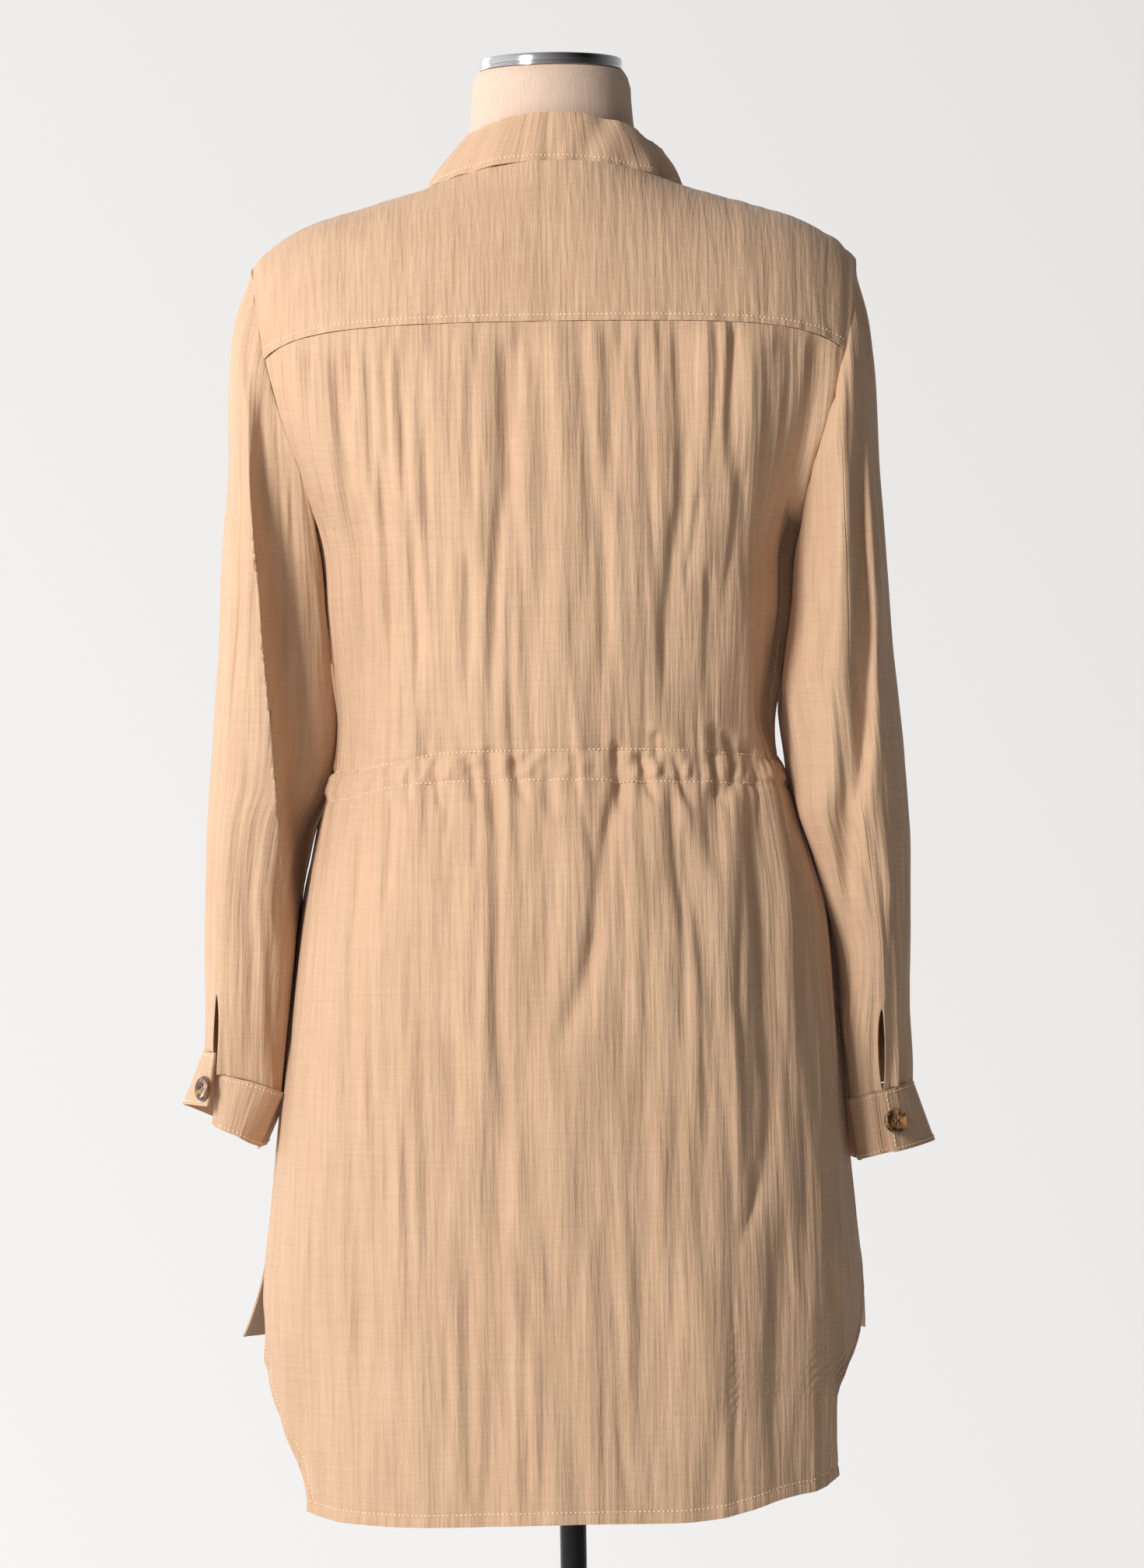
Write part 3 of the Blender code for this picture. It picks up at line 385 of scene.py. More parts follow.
def torso_cloth(angle, level, lift=0.0):
    """The draped torso cloth: its ring surface moved along its normal by the folds, the gathers under
    the yoke seam, the casing and the crinkle, and by lift."""
    angle, level = grids(angle, level)
    point = torso_base(angle, level)
    normal = outward(torso_base, angle, level, 0.2, 0.0005)
    behind = np.cos(np.radians(angle)) > 0
    off_centre = np.abs(np.where(behind, angle, 180.0 - np.abs(angle)))
    x, z = point[..., 0], point[..., 2]
    hole = armhole_angle(level, np.where(behind, ARMHOLE_BACK, ARMHOLE_FRONT))
    from_edge = SIDE_SEAM - hole - off_centre
    calm = smooth_step((from_edge - 0.5) / 5.5)
    seam = yoke_seam_level(np.minimum(off_centre, 61.0))
    below_yoke = np.where(behind, seam - level, 1.28 - level)
    folds = np.where(behind, fold_depth(x, z, BACK_FOLDS), fold_depth(x, z, FRONT_FOLDS))
    folds = folds * calm * smooth_step(below_yoke / 0.010)
    beyond = np.maximum(read(BACK_FLANK, 1, level) - x, 0.0)
    flank = read(BACK_FLANK, 2, level) * (1.0 - bell(beyond, 0.0055))
    folds = folds + flank * behind * smooth_step(from_edge / 9.0)
    room = np.interp(level, (1.06, 1.14, 1.25, 1.31, 1.34), (0.0115, 0.0095, 0.0080, 0.0040, 0.0005))
    folds = np.where(folds > 0, room * np.tanh(folds / room), folds)
    u = cloth_run(angle, x)
    gathers = soft_noise(u, level, 0.0060, 0.040, 81) * bell(np.maximum(below_yoke, 0.0), 0.028, 1)
    gathers = 0.0016 * gathers * smooth_step(below_yoke / 0.005) * calm * behind
    ripples = crinkle(u, level, 11)
    ripples = ripples * (0.25 + 0.75 * np.where(behind, smooth_step(below_yoke / 0.012), 1.0))
    ripples = ripples * (0.35 + 0.65 * smooth_step(from_edge / 4.0))
    casing = casing_height(u, x, level, behind) * smooth_step((1.12 - level) / 0.04)
    height = ripples + gathers + casing - folds
    return point + normal * (height + lift)[..., None], normal


def row_levels(stops, counts):
    """Levels of a panel's rows: evenly spaced between stops, with a row exactly on each stop."""
    rows = [stops[0]]
    for start, end, count in zip(stops[:-1], stops[1:], counts):
        for n in range(1, count + 1):
            rows.append(start + (end - start) * n / count)
    return np.stack(np.broadcast_arrays(*rows))


def back_place(u, v):
    """Angle and level on the back: u from -1 to 1 across, v from 0 at the yoke seam over 1 at the
    underarm to 2 at the hem."""
    top = yoke_seam_level(u * yoke_corner()) - SEAM_GAP
    hem = read(BACK_HEM, 1, u)
    level = np.where(v < 1, top + (UNDERARM_LEVEL - top) * v,
                     UNDERARM_LEVEL + (hem - UNDERARM_LEVEL) * (v - 1))
    top_edge = yoke_seam_level(yoke_corner()) - SEAM_GAP
    hem_edge = np.where(u < 0, BACK_HEM[0, 1], BACK_HEM[-1, 1])
    edge_level = np.where(v < 1, top_edge + (UNDERARM_LEVEL - top_edge) * v,
                          UNDERARM_LEVEL + (hem_edge - UNDERARM_LEVEL) * (v - 1))
    left = read(BACK_TAIL, 1, edge_level)
    right = read(BACK_TAIL, 2, edge_level)
    edge = SIDE_SEAM - armhole_angle(edge_level, ARMHOLE_BACK) - np.where(u < 0, right, left)
    return u * edge, level


def back_surface(u, v, lift=0.0):
    """Point and normal of the back, with the doubled cloth of its hem and side seams standing out."""
    angle, level = back_place(u, v)
    to_hem = (2.0 - v) * BACK_LENGTH
    to_side = (1.0 - np.abs(u)) * BACK_HALF
    below_underarm = smooth_step((v - 1.0) / 0.02)
    hem = bell(np.maximum(to_hem, 0.0), 0.0065, 4)
    hem_row = bell(to_hem - HEM_TURNED, 0.0012)
    side = bell(to_side, 0.0085, 4) * below_underarm
    side_row = bell(to_side - SIDE_TURNED, 0.0012) * below_underarm
    pucker = soft_noise(u * BACK_HALF, v, 0.0050, 4.0, 21)
    edge = 0.0006 * np.maximum(hem, side) - 0.0005 * hem_row - 0.0004 * side_row + 0.0004 * pucker * hem
    return torso_cloth(angle, level, edge + lift)


def fill(tree, node, values):
    """Fill a node's inputs: with a value, or with a link where the value is another node's output."""
    for key, value in values.items():
        if isinstance(value, bpy.types.NodeSocket):
            tree.links.new(value, node.inputs[key])
        else:
            node.inputs[key].default_value = value
    return node


def add_node(tree, kind, values, **settings):
    """A new node of a kind; its settings are made before its inputs are filled."""
    node = tree.nodes.new("ShaderNode" + kind)
    for key, value in settings.items():
        setattr(node, key, value)
    return fill(tree, node, values)


def new_finish(name, values):
    """A material with its shader's inputs filled, its node tree and its shader."""
    finish = bpy.data.materials.new(name)
    finish.use_nodes = True
    tree = finish.node_tree
    return finish, tree, fill(tree, tree.nodes["Principled BSDF"], values)


def grain(tree, space, cells, detail, place=(0.0, 0.0, 0.0)):
    """Noise over the UV or object coordinates in metres, with so many cells a metre on each axis."""
    coords = add_node(tree, "TexCoord", {})
    mapping = add_node(tree, "Mapping", {"Vector": coords.outputs[space], "Scale": cells, "Location": place})
    noise = add_node(tree, "TexNoise", {"Vector": mapping.outputs["Vector"], "Scale": 1.0, "Detail": detail})
    return noise.outputs["Fac"]


def weighted_total(tree, values, weights):
    """Sum of weight (value - 1/2)."""
    total = 0.0
    for value, weight in zip(values, weights):
        scaled = add_node(tree, "Math", {0: value, 1: weight, 2: -0.5 * weight}, operation="MULTIPLY_ADD")
        total = add_node(tree, "Math", {0: total, 1: scaled.outputs[0]}).outputs[0]
    return total


def mixed(tree, factor, dark, light):
    """A colour from dark at factor 0 to light at 1."""
    mix = add_node(tree, "Mix", {"Factor": factor, "A": (*dark, 1.0), "B": (*light, 1.0)}, data_type="RGBA")
    return mix.outputs["Result"]


def bumped(tree, height, strength, distance):
    """The normal of a surface with this relief."""
    bump = add_node(tree, "Bump", {"Height": height, "Strength": strength, "Distance": distance})
    return bump.outputs["Normal"]


# The cloth's streaks, slubs, weave and clouds: cells a metre across and along, detail, place, and the share
# of each in the colour and in the relief.
# The streaks' colour is painted shade in the crinkle's troughs and painted highlight on its rises; slubs,
# weave and clouds are the cloth's own tone.
CLOTH_GRAIN = np.array([
    (330.0, 22.0, 4.0, 3.0, 0.90, 1.00),
    (26.0, 620.0, 3.0, 11.0, 0.45, 0.35),
    (1500.0, 1500.0, 2.0, 23.0, 0.50, 0.25),
    (14.0, 9.0, 3.0, 31.0, 0.60, 0.00),
])


def cloth_finish(name, light, dark):
    """Plain-woven crinkled cloth: upright streaks, level slubs and a fine weave in colour and bump; the
    streaks' colour is painted shade and highlight of the crinkle.
    """
    finish, tree, shader = new_finish(name, {"Roughness": 0.78, "Specular IOR Level": 0.25,
                                             "Sheen Weight": 0.18, "Sheen Roughness": 0.45})
    grains = [grain(tree, "UV", (cells_across, cells_along, 1.0), detail, (place, place * 0.7, place * 1.3))
              for cells_across, cells_along, detail, place in CLOTH_GRAIN[:, :4].tolist()]
    # The colour is partly the cloth's own tone (slubs, weave, clouds) and partly painted shade and highlight:
    # the streaks are darker where their relief sinks and lighter where it rises.
    tone_and_painted_shade = weighted_total(tree, grains, CLOTH_GRAIN[:, 4].tolist())
    relief = weighted_total(tree, grains, CLOTH_GRAIN[:, 5].tolist())
    spread = add_node(tree, "MapRange", {"Value": tone_and_painted_shade, "From Min": -0.6, "From Max": 0.6})
    fill(tree, shader, {"Base Color": mixed(tree, spread.outputs["Result"], dark, light),
                        "Normal": bumped(tree, relief, 0.95, 0.0012)})
    return finish


def make_piece(name, corners, faces, finish, uv=None, weld=0.0, smooth=None, outwards=False):
    """A smooth mesh that rides the body: uv in metres, points closer than weld joined, edges for which
    smooth is false made sharp, faces turned outwards."""
    mesh = bpy.data.meshes.new(name)
    mesh.from_pydata(corners, [], faces)
    if uv is not None:
        layer = mesh.uv_layers.new(name="cloth")
        corner = np.empty(len(mesh.loops), dtype=np.int32)
        mesh.loops.foreach_get("vertex_index", corner)
        layer.data.foreach_set("uv", uv.reshape(-1, 2)[corner].astype(np.float32).ravel())
    mesh.shade_smooth()
    if weld or smooth:
        formed = bmesh.new()
        formed.from_mesh(mesh)
        if weld:
            bmesh.ops.remove_doubles(formed, verts=formed.verts, dist=weld)
        for edge in formed.edges:
            edge.smooth = smooth(edge) if smooth else True
        if outwards:
            bmesh.ops.recalc_face_normals(formed, faces=formed.faces)
        formed.to_mesh(mesh)
        formed.free()
    mesh.materials.append(finish)
    made = bpy.data.objects.new(name, mesh)
    bpy.context.scene.collection.objects.link(made)
    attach(made, "root")
    return made


def joined(edge):
    """True on an edge with a face on both sides."""
    return not edge.is_boundary


def grid_quads(rows, columns):
    """Corners of the quads between neighbouring points of a grid."""
    index = np.arange(rows * columns).reshape(rows, columns)
    return np.stack([index[:-1, :-1], index[:-1, 1:], index[1:, 1:], index[1:, :-1]], axis=-1)


def shell(name, point, uv, finish, flip=False, wall=CLOTH_WALL, skip_column=None, weld=0.0):
    """A thin cloth shell: quads over a grid of points, thickened inwards."""
    quads = grid_quads(*point.shape[:2])
    if skip_column is not None:
        quads = np.delete(quads, skip_column, axis=1)
    quads = quads.reshape(-1, 4)
    if flip:
        quads = quads[:, ::-1]
    made = make_piece(name, point.reshape(-1, 3), quads, finish, uv=uv, weld=weld, smooth=joined)
    thickness = made.modifiers.new("wall", "SOLIDIFY")
    thickness.thickness = wall
    thickness.offset = -1.0
    return made


def stitch_rows(name, rows, finish, pitch=0.0029, length=0.0019, thick=0.00042):
    """Rows of thread: along each path of points and normals, one small rounded dash for each pitch."""
    sides = np.radians(np.arange(6) * 60.0)
    ring = np.stack([np.zeros(6), np.cos(sides), np.sin(sides)], axis=-1)
    form = np.concatenate([[(-1.0, 0.0, 0.0)], ring + (-0.7, 0.0, 0.0), ring + (0.7, 0.0, 0.0),
                           [(1.0, 0.0, 0.0)]])
    n = np.arange(6)
    after = (n + 1) % 6
    faces = np.concatenate([np.stack([n * 0, 1 + after, 1 + n], axis=-1),
                            np.stack([1 + n, 1 + after, 7 + after], axis=-1),
                            np.stack([1 + n, 7 + after, 7 + n], axis=-1),
                            np.stack([n * 0 + 13, 7 + n, 7 + after], axis=-1)])
    points = []
    for path, normal in rows:
        run = np.concatenate([[0.0], np.cumsum(np.linalg.norm(np.diff(path, axis=0), axis=1))])
        at = np.arange(pitch / 2, run[-1], pitch)
        middle, ahead, up = (np.stack([np.interp(place, run, values[:, k]) for k in range(3)], axis=-1)
                             for place, values in ((at, path), (at + pitch / 3, path), (at, normal)))
        along = ahead - middle
        along /= np.maximum(np.linalg.norm(along, axis=1, keepdims=True), 1e-9)
        side = np.cross(along, up)
        side /= np.maximum(np.linalg.norm(side, axis=1, keepdims=True), 1e-9)
        up = np.cross(side, along)
        dash = (middle[:, None] + form[None, :, :1] * along[:, None] * length / 2
                + form[None, :, 1:2] * side[:, None] * thick + form[None, :, 2:] * up[:, None] * thick * 0.8)
        points.append(dash.reshape(-1, 3))
    points = np.concatenate(points)
    count = len(points) // len(form)
    every = (faces[None] + (np.arange(count) * len(form))[:, None, None]).reshape(-1, 3)
    return make_piece(name, points, every, finish)


tan_cloth = cloth_finish("tan crinkled cloth", light=(0.705, 0.478, 0.316), dark=(0.505, 0.308, 0.182))
thread, _, _ = new_finish("tan thread", {"Base Color": (0.88, 0.66, 0.44, 1.0), "Roughness": 0.5})

across = np.linspace(-1.0, 1.0, 265)[None, :]
down = np.concatenate([1.0 - np.linspace(1.0, 0.0, 41)[:-1] ** 1.8, np.linspace(1.0, 1.19, 24)[:-1],
                       np.linspace(1.19, 1.31, 46)[:-1], np.linspace(1.31, 1.96, 62)[:-1],
                       np.linspace(1.96, 2.0, 11)])[:, None]
back_points, _ = back_surface(across, down)
back_angle, back_level = back_place(across, down)
back_uv = flat_uv(cloth_run(back_angle, back_points[..., 0]), back_level)
back = shell("back_cloth", back_points, back_uv, tan_cloth)
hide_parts("back")


def back_row(u, v):
    """A path on the back's outer face for a row of thread."""
    return back_surface(*grids(u, v), lift=ON_CLOTH)


def level_row(n, behind, count=400):
    """A path round half the torso along casing row n, 1 the upper and 2 the lower."""
    offset = np.linspace(-84.0, 84.0, count)
    angle = offset if behind else 180.0 + offset
    x = torso_base(angle, np.full(count, 1.045))[..., 0]
    level = read(CASING, n, x if behind else -x)
    return torso_cloth(angle, level, ON_CLOTH)


wide = np.linspace(-0.985, 0.985, 400)
tall = np.linspace(1.02, 1.985, 400)
back_threads = stitch_rows("back_threads", [
    level_row(1, True),
    level_row(2, True),
    back_row(wide, 2.0 - HEM_TURNED / BACK_LENGTH),
    back_row(-1.0 + SIDE_TURNED / BACK_HALF, tall),
    back_row(1.0 - SIDE_TURNED / BACK_HALF, tall),
], thread)

# ---------------------------------------------------------------- yoke
# The yoke is one piece of the same cloth over the upper back and both shoulders. Its lower edge is
# turned under and topstitched on to the gathered back.
YOKE_TURNED = 0.0042      # from the yoke's edge to its row of thread


def yoke_edge_level(angle):
    """Outer edge of the yoke: the back seam, then the armhole over the shoulder to the front seam."""
    a = np.abs(angle)
    reach = np.where(a < 90.0, ARMHOLE_BACK, ARMHOLE_FRONT)
    hole = ARMHOLE_MIDDLE + ARMHOLE_HALF * np.sqrt(np.clip(1.0 - ((a - 90.0) / reach) ** 2, 0.0, 1.0))
    return np.where(a < yoke_corner(), yoke_seam_level(a), hole)


def yoke_surface(angle, v, lift=0.0):
    """Point and normal of the yoke, v from 0 at the neck to 1 at its outer edge."""
    edge = yoke_edge_level(angle)
    level = (NECK_LEVEL - SEAM_GAP) * (1.0 - v) + edge * v
    point = torso_base(angle, level)
    normal = outward(torso_base, angle, level, 0.2, 0.0005)
    to_edge = (1.0 - v) * (NECK_LEVEL - edge)
    turned = bell(to_edge, 0.0070, 4)
    row = bell(to_edge - YOKE_TURNED, 0.0011) * (np.abs(angle) < yoke_corner())
    pucker = soft_noise(point[..., 0], to_edge, 0.0044, 0.0120, 31) * bell(to_edge - 0.004, 0.006)
    neck = v * (NECK_LEVEL - edge)
    neck_pucker = soft_noise(point[..., 0], neck, 0.0050, 0.0200, 32) * bell(neck, 0.008, 1)
    ripple = 0.34 * crinkle(point[..., 0], point[..., 2] - point[..., 1], 41) * (1.0 - 0.7 * turned)
    sewn = 0.0001 * turned - 0.0003 * row + 0.0008 * pucker + 0.0003 * neck_pucker
    height = 0.0002 + ripple + sewn
    return point + normal * (height + lift)[..., None], normal


half_yoke = np.concatenate([np.linspace(0.0, yoke_corner(), 93),
                            np.linspace(yoke_corner(), SHOULDER_SEAM, 47)[1:]])
yoke_angle = np.concatenate([-half_yoke[:0:-1], half_yoke])[None, :]
yoke_down = np.linspace(0.0, 1.0, 61)[:, None]
yoke_points, _ = yoke_surface(yoke_angle, yoke_down)
yoke_uv = flat_uv(yoke_points[..., 0], yoke_points[..., 2] - yoke_points[..., 1])
yoke = shell("yoke_cloth", yoke_points, yoke_uv, tan_cloth)
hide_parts("yoke")
seam_angle = np.linspace(-yoke_corner() + 0.6, yoke_corner() - 0.6, 400)
seam_reach = NECK_LEVEL - yoke_edge_level(seam_angle)
yoke_row = yoke_surface(seam_angle, 1.0 - YOKE_TURNED / seam_reach, ON_CLOTH)
yoke_threads = stitch_rows("yoke_threads", [yoke_row], thread)

# ---------------------------------------------------------------- front and its strips
# The front is one panel like the back but shorter, with a neck slit. It isn't seen, so it is plain: the
# slit is finished by two narrow strips of the same cloth.
FRONT_HEM = 0.672
HEM_RISE = 0.008          # how much higher the front hem is at the sides
CORNER_FLARE = 0.018
NECK_SLIT_END = 1.262
NECK_SLIT_HALF = 0.014
STRIP_WIDTH = 0.020
STRIP_TAIL = 0.016
STRIP_LIFT = 0.0024
STRIP_WALL = 0.0009


def shoulder_seam_end():
    """Level at which the forward shoulder seam meets the armhole."""
    across = (SHOULDER_SEAM - 90.0) / ARMHOLE_FRONT
    return ARMHOLE_MIDDLE + ARMHOLE_HALF * float(np.sqrt(1.0 - across ** 2))


def slit_half_angle(level):
    """Angle from the centre front to the edge of the neck slit."""
    open_part = np.clip((level - NECK_SLIT_END) / (NECK_LEVEL - NECK_SLIT_END), 0.0, 1.0)
    half_width = read(TORSO_RINGS, HALF_WIDTH, level)
    return np.degrees(np.arcsin((NECK_SLIT_HALF * open_part / half_width) ** 1.1))


def front_half(columns, counts):
    """Offsets from the centre front and levels of half the front, from its slit edge outwards."""
    u = np.linspace(0.0, 1.0, columns)
    hem = FRONT_HEM + HEM_RISE * u ** 2
    stops = (NECK_LEVEL - SEAM_GAP, shoulder_seam_end(), NECK_SLIT_END, UNDERARM_LEVEL, hem)
    level = row_levels(stops, counts)
    edge_level = level[:, -1:]
    edge = SIDE_SEAM - armhole_angle(edge_level, ARMHOLE_FRONT)
    below_seam = np.minimum(edge, 179.75 - SHOULDER_SEAM)
    edge = np.where(edge_level > ARMHOLE_MIDDLE, below_seam, edge)
    inner = slit_half_angle(level[:, :1])
    return inner + (edge - inner) * u, level


def front_surface(angle, level, lift=0.0):
    """The torso cloth ahead, with the left corner of its hem standing out."""
    point, normal = torso_cloth(angle, level, lift)
    to_hem = np.clip((SIDE_SLIT_TOP + 0.03 - level) / (SIDE_SLIT_TOP + 0.03 - FRONT_HEM), 0.0, 1.0)
    to_left_edge = np.clip((180.0 - angle - 55.0) / 35.0, 0.0, 1.0)
    point[..., 0] += CORNER_FLARE * to_hem ** 2 * to_left_edge ** 2
    return point, normal


FRONT_COLUMNS = 111
offset, front_level = front_half(FRONT_COLUMNS, (24, 8, 14, 104))
front_angle = np.concatenate([180.0 - offset[:, ::-1], 180.0 + offset], axis=1)
front_level = np.concatenate([front_level[:, ::-1], front_level], axis=1)
front_points, _ = front_surface(front_angle, front_level)
front_uv = flat_uv(cloth_run(front_angle, front_points[..., 0]), front_level)
front = shell("front_cloth", front_points, front_uv, tan_cloth, skip_column=FRONT_COLUMNS - 1)
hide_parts("front")
hem_offset = np.linspace(-88.0, 88.0, 400)
hem_row_level = FRONT_HEM + HEM_TURNED + HEM_RISE * (hem_offset / SIDE_SEAM) ** 2
front_threads = stitch_rows("front_threads", [
    level_row(1, False),
    level_row(2, False),
    front_surface(180.0 + hem_offset, hem_row_level, ON_CLOTH),
], thread)

for sign, side_name in ((1.0, "left"), (-1.0, "right")):
    strip_stops = (NECK_LEVEL - SEAM_GAP, NECK_SLIT_END, NECK_SLIT_END - STRIP_TAIL)
    strip_level = row_levels(strip_stops, (60, 6))[:, None]
    strip_across = np.linspace(0.0, 1.0, 15)[None, :]
    half_width = read(TORSO_RINGS, HALF_WIDTH, strip_level)
    strip_offset = slit_half_angle(strip_level) + 0.18 + np.degrees(STRIP_WIDTH / half_width) * strip_across
    strip_angle, strip_level = np.broadcast_arrays(180.0 - sign * strip_offset, strip_level)
    strip_points, _ = torso_cloth(strip_angle, strip_level, STRIP_LIFT)
    strip_uv = flat_uv(np.radians(strip_angle) * 0.165 + 0.4, strip_level)
    strip = shell(f"placket_{side_name}_cloth", strip_points, strip_uv, tan_cloth, flip=sign > 0,
                  wall=STRIP_WALL)
    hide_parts(f"placket_{side_name}")

# ---------------------------------------------------------------- collar
# The collar is a soft standing band of two layers of the same cloth, sewn into the neck seam. It leans
# in towards the neck and stands away from it on the wearer's right.
COLLAR_HEIGHT = 0.032
COLLAR_RADIUS = 0.070     # metres of cloth for each radian round the neck
COLLAR_ROW = 0.10         # place of the seam's row of thread, in shares of the height
COLLAR_TOP = np.array([(1.4575, -0.0135, -0.0480, 0.0605, 0.0545, 0.0580, 0.98, -0.0025)])


def collar_base(angle, v):
    """Straight from the neck seam at v 0 to the free edge at v 1, opening on the wearer's right."""
    foot = ring_point(TORSO_RINGS, angle, np.full(np.shape(angle), NECK_LEVEL))
    top = ring_point(COLLAR_TOP, angle, np.full(np.shape(angle), COLLAR_TOP[0, 0]))
    right = bell(angle + 90.0, 38.0)
    top[..., 0] -= 0.0065 * right
    top[..., 2] -= 0.0070 * right
    foot[..., 2] += SEAM_GAP
    return foot + (top - foot) * np.asarray(v)[..., None]


def turned_along(normal, away):
    """The normal, turned over where it points against away."""
    return normal * np.where(np.sum(normal * away, axis=-1, keepdims=True) < 0, -1.0, 1.0)


def collar_surface(angle, v, lift=0.0):
    """The collar with a slight outward bow, a rolled edge, slanting soft folds and a puckered seam."""
    angle, v = grids(angle, v)
    point = collar_base(angle, v)
    normal = turned_along(-outward(collar_base, angle, v, 0.5, 0.02), point * (1, 1, 0))
    u = np.radians(angle) * COLLAR_RADIUS
    slant = soft_noise(u + 0.020 * v, v, 0.0140, 0.9, 51) * smooth_step((60.0 - np.abs(angle + 40.0)) / 30.0)
    seam = bell(v - COLLAR_ROW, 0.035)
    pucker = soft_noise(u, v, 0.0036, 0.5, 52) * bell(v, 0.22, 1)
    edge = bell(1.0 - v, 0.10, 4)
    bow = 0.0012 * np.sin(np.pi * v)
    height = bow + 0.0020 * slant - 0.0004 * seam + 0.0006 * pucker + 0.0004 * edge
    height = height + 0.5 * crinkle(u, v * COLLAR_HEIGHT, 53)
    return point + normal * (height + lift)[..., None], normal


open_offset = float(slit_half_angle(np.array(NECK_LEVEL - SEAM_GAP)))
collar_angle = np.linspace(-180.0 + open_offset, 180.0 - open_offset, 241)[None, :]
collar_down = np.linspace(-0.02, 1.0, 27)[:, None]
collar_points, _ = collar_surface(collar_angle, collar_down)
collar_uv = flat_uv(np.radians(collar_angle) * COLLAR_RADIUS, collar_down * COLLAR_HEIGHT + 0.7)
collar = shell("collar_cloth", collar_points, collar_uv, tan_cloth, flip=True)
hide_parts("collar")
collar_path = np.linspace(collar_angle[0, 2], collar_angle[0, -3], 500)
collar_threads = stitch_rows("collar_threads", [collar_surface(collar_path, COLLAR_ROW, ON_CLOTH)], thread)

# ---------------------------------------------------------------- sleeves
# Each sleeve is one long tube of the same cloth, set into the armhole and hanging straight and flat,
# with a bound slit above the cuff. Long soft creases run down from the shoulder.
SLEEVE_COLUMNS = ("z", "outer", "half_depth", "middle_y")
SLEEVE_ROWS = np.array([
    (1.3700, 0.1930, 0.0500, 0.000),
    (1.3450, 0.2035, 0.0590, 0.000),
    (1.3000, 0.2090, 0.0660, 0.001),
    (1.2250, 0.2125, 0.0700, 0.001),
    (1.1850, 0.2155, 0.0710, 0.000),
    (1.1350, 0.2190, 0.0700, -0.001),
    (1.0850, 0.2235, 0.0670, -0.002),
    (1.0350, 0.2270, 0.0640, -0.003),
    (0.9850, 0.2300, 0.0610, -0.004),
    (0.9350, 0.2315, 0.0590, -0.005),
    (0.8850, 0.2320, 0.0540, -0.006),
    (0.8550, 0.2325, 0.0460, -0.006),
    (0.8200, 0.2310, 0.0420, -0.006),
])
# How close the cloth under the arm comes to the middle: height, left sleeve, right sleeve.
SLEEVE_INNER = np.array([
    (1.370, 0.1480, 0.1480),
    (1.225, 0.1460, 0.1460),
    (1.185, 0.1440, 0.1440),
    (1.135, 0.1410, 0.1410),
    (1.095, 0.1390, 0.1360),
    (1.068, 0.1385, 0.1405),
    (1.045, 0.1400, 0.1440),
    (1.030, 0.1440, 0.1455),
    (1.012, 0.1555, 0.1460),
    (0.985, 0.1630, 0.1550),
    (0.955, 0.1680, 0.1640),
    (0.930, 0.1680, 0.1720),
    (0.900, 0.1710, 0.1755),
    (0.870, 0.1735, 0.1730),
    (0.820, 0.1770, 0.1770),
])
SLEEVE_ROUNDNESS = 0.86
SLEEVE_CLEAR = 0.0016
ARMHOLE_STEP = 0.0002
WRIST_SLIT = 0.0520
SLIT_HALF = 0.0022
SLEEVE_RADIUS = 0.048     # metres of cloth for each radian round a sleeve
DEGREE_RUN = 0.00095      # metres of cloth for each degree round the wrist
# Each side: sign of x, how much slimmer the sleeve is, the slit's angle round the sleeve (0 outer, 90
# back), the middle height of the cuff seam, how much higher it is outside, and its step at the slit; the
# cuff's drop and outward lean, the share of that lean at the slit, its flare outside, how far its button
# end stands out, the button's place down the cuff, and the seed of the crinkle.
SIDES = {
    "left": dict(sign=1.0, slimmer=0.000, slit=52.0, seam=0.8490, tilt=0.0130, step=0.0140, drop=0.0340,
                 lean=0.0160, steady=0.15, flare=0.0000, flap=0.0040, button=0.68, seed=200),
    "right": dict(sign=-1.0, slimmer=0.006, slit=84.0, seam=0.8330, tilt=0.0060, step=0.0000, drop=0.0390,
                  lean=0.0050, steady=1.00, flare=0.0090, flap=0.0050, button=0.52, seed=300),
}
# The left sleeve hangs in a long sharp ridge: height, distance of the ridge from the middle, and how
# far the cloth falls away on the side of the body.
SLEEVE_RIDGE = np.array([
    (1.330, 0.2030, 0.000),
    (1.300, 0.2010, 0.007),
    (1.266, 0.1970, 0.013),
    (1.228, 0.1955, 0.021),
    (1.189, 0.1925, 0.028),
    (1.150, 0.1895, 0.034),
    (1.072, 0.1830, 0.037),
    (0.994, 0.1780, 0.034),
    (0.950, 0.1740, 0.024),
    (0.900, 0.1710, 0.010),
    (0.870, 0.1640, 0.000),
])
# The right sleeve has one long groove instead: height, angle round the sleeve, depth.
SLEEVE_GROOVE = np.array([
    (1.300, 52.0, 0.000),
    (1.260, 56.0, 0.006),
    (1.190, 62.0, 0.011),
    (1.110, 65.0, 0.011),
    (1.070, 74.0, 0.010),
    (1.030, 86.0, 0.009),
    (0.950, 112.0, 0.006),
    (0.900, 126.0, 0.000),
])
GROOVE_WIDTH = 7.5
# Next to the body the right sleeve is tucked forward, away from the back: height, depth.
SLEEVE_TUCK = np.array([
    (1.290, 0.000),
    (1.250, 0.010),
    (1.200, 0.018),
    (1.150, 0.024),
    (1.100, 0.016),
    (1.060, 0.006),
    (1.020, 0.000),
])
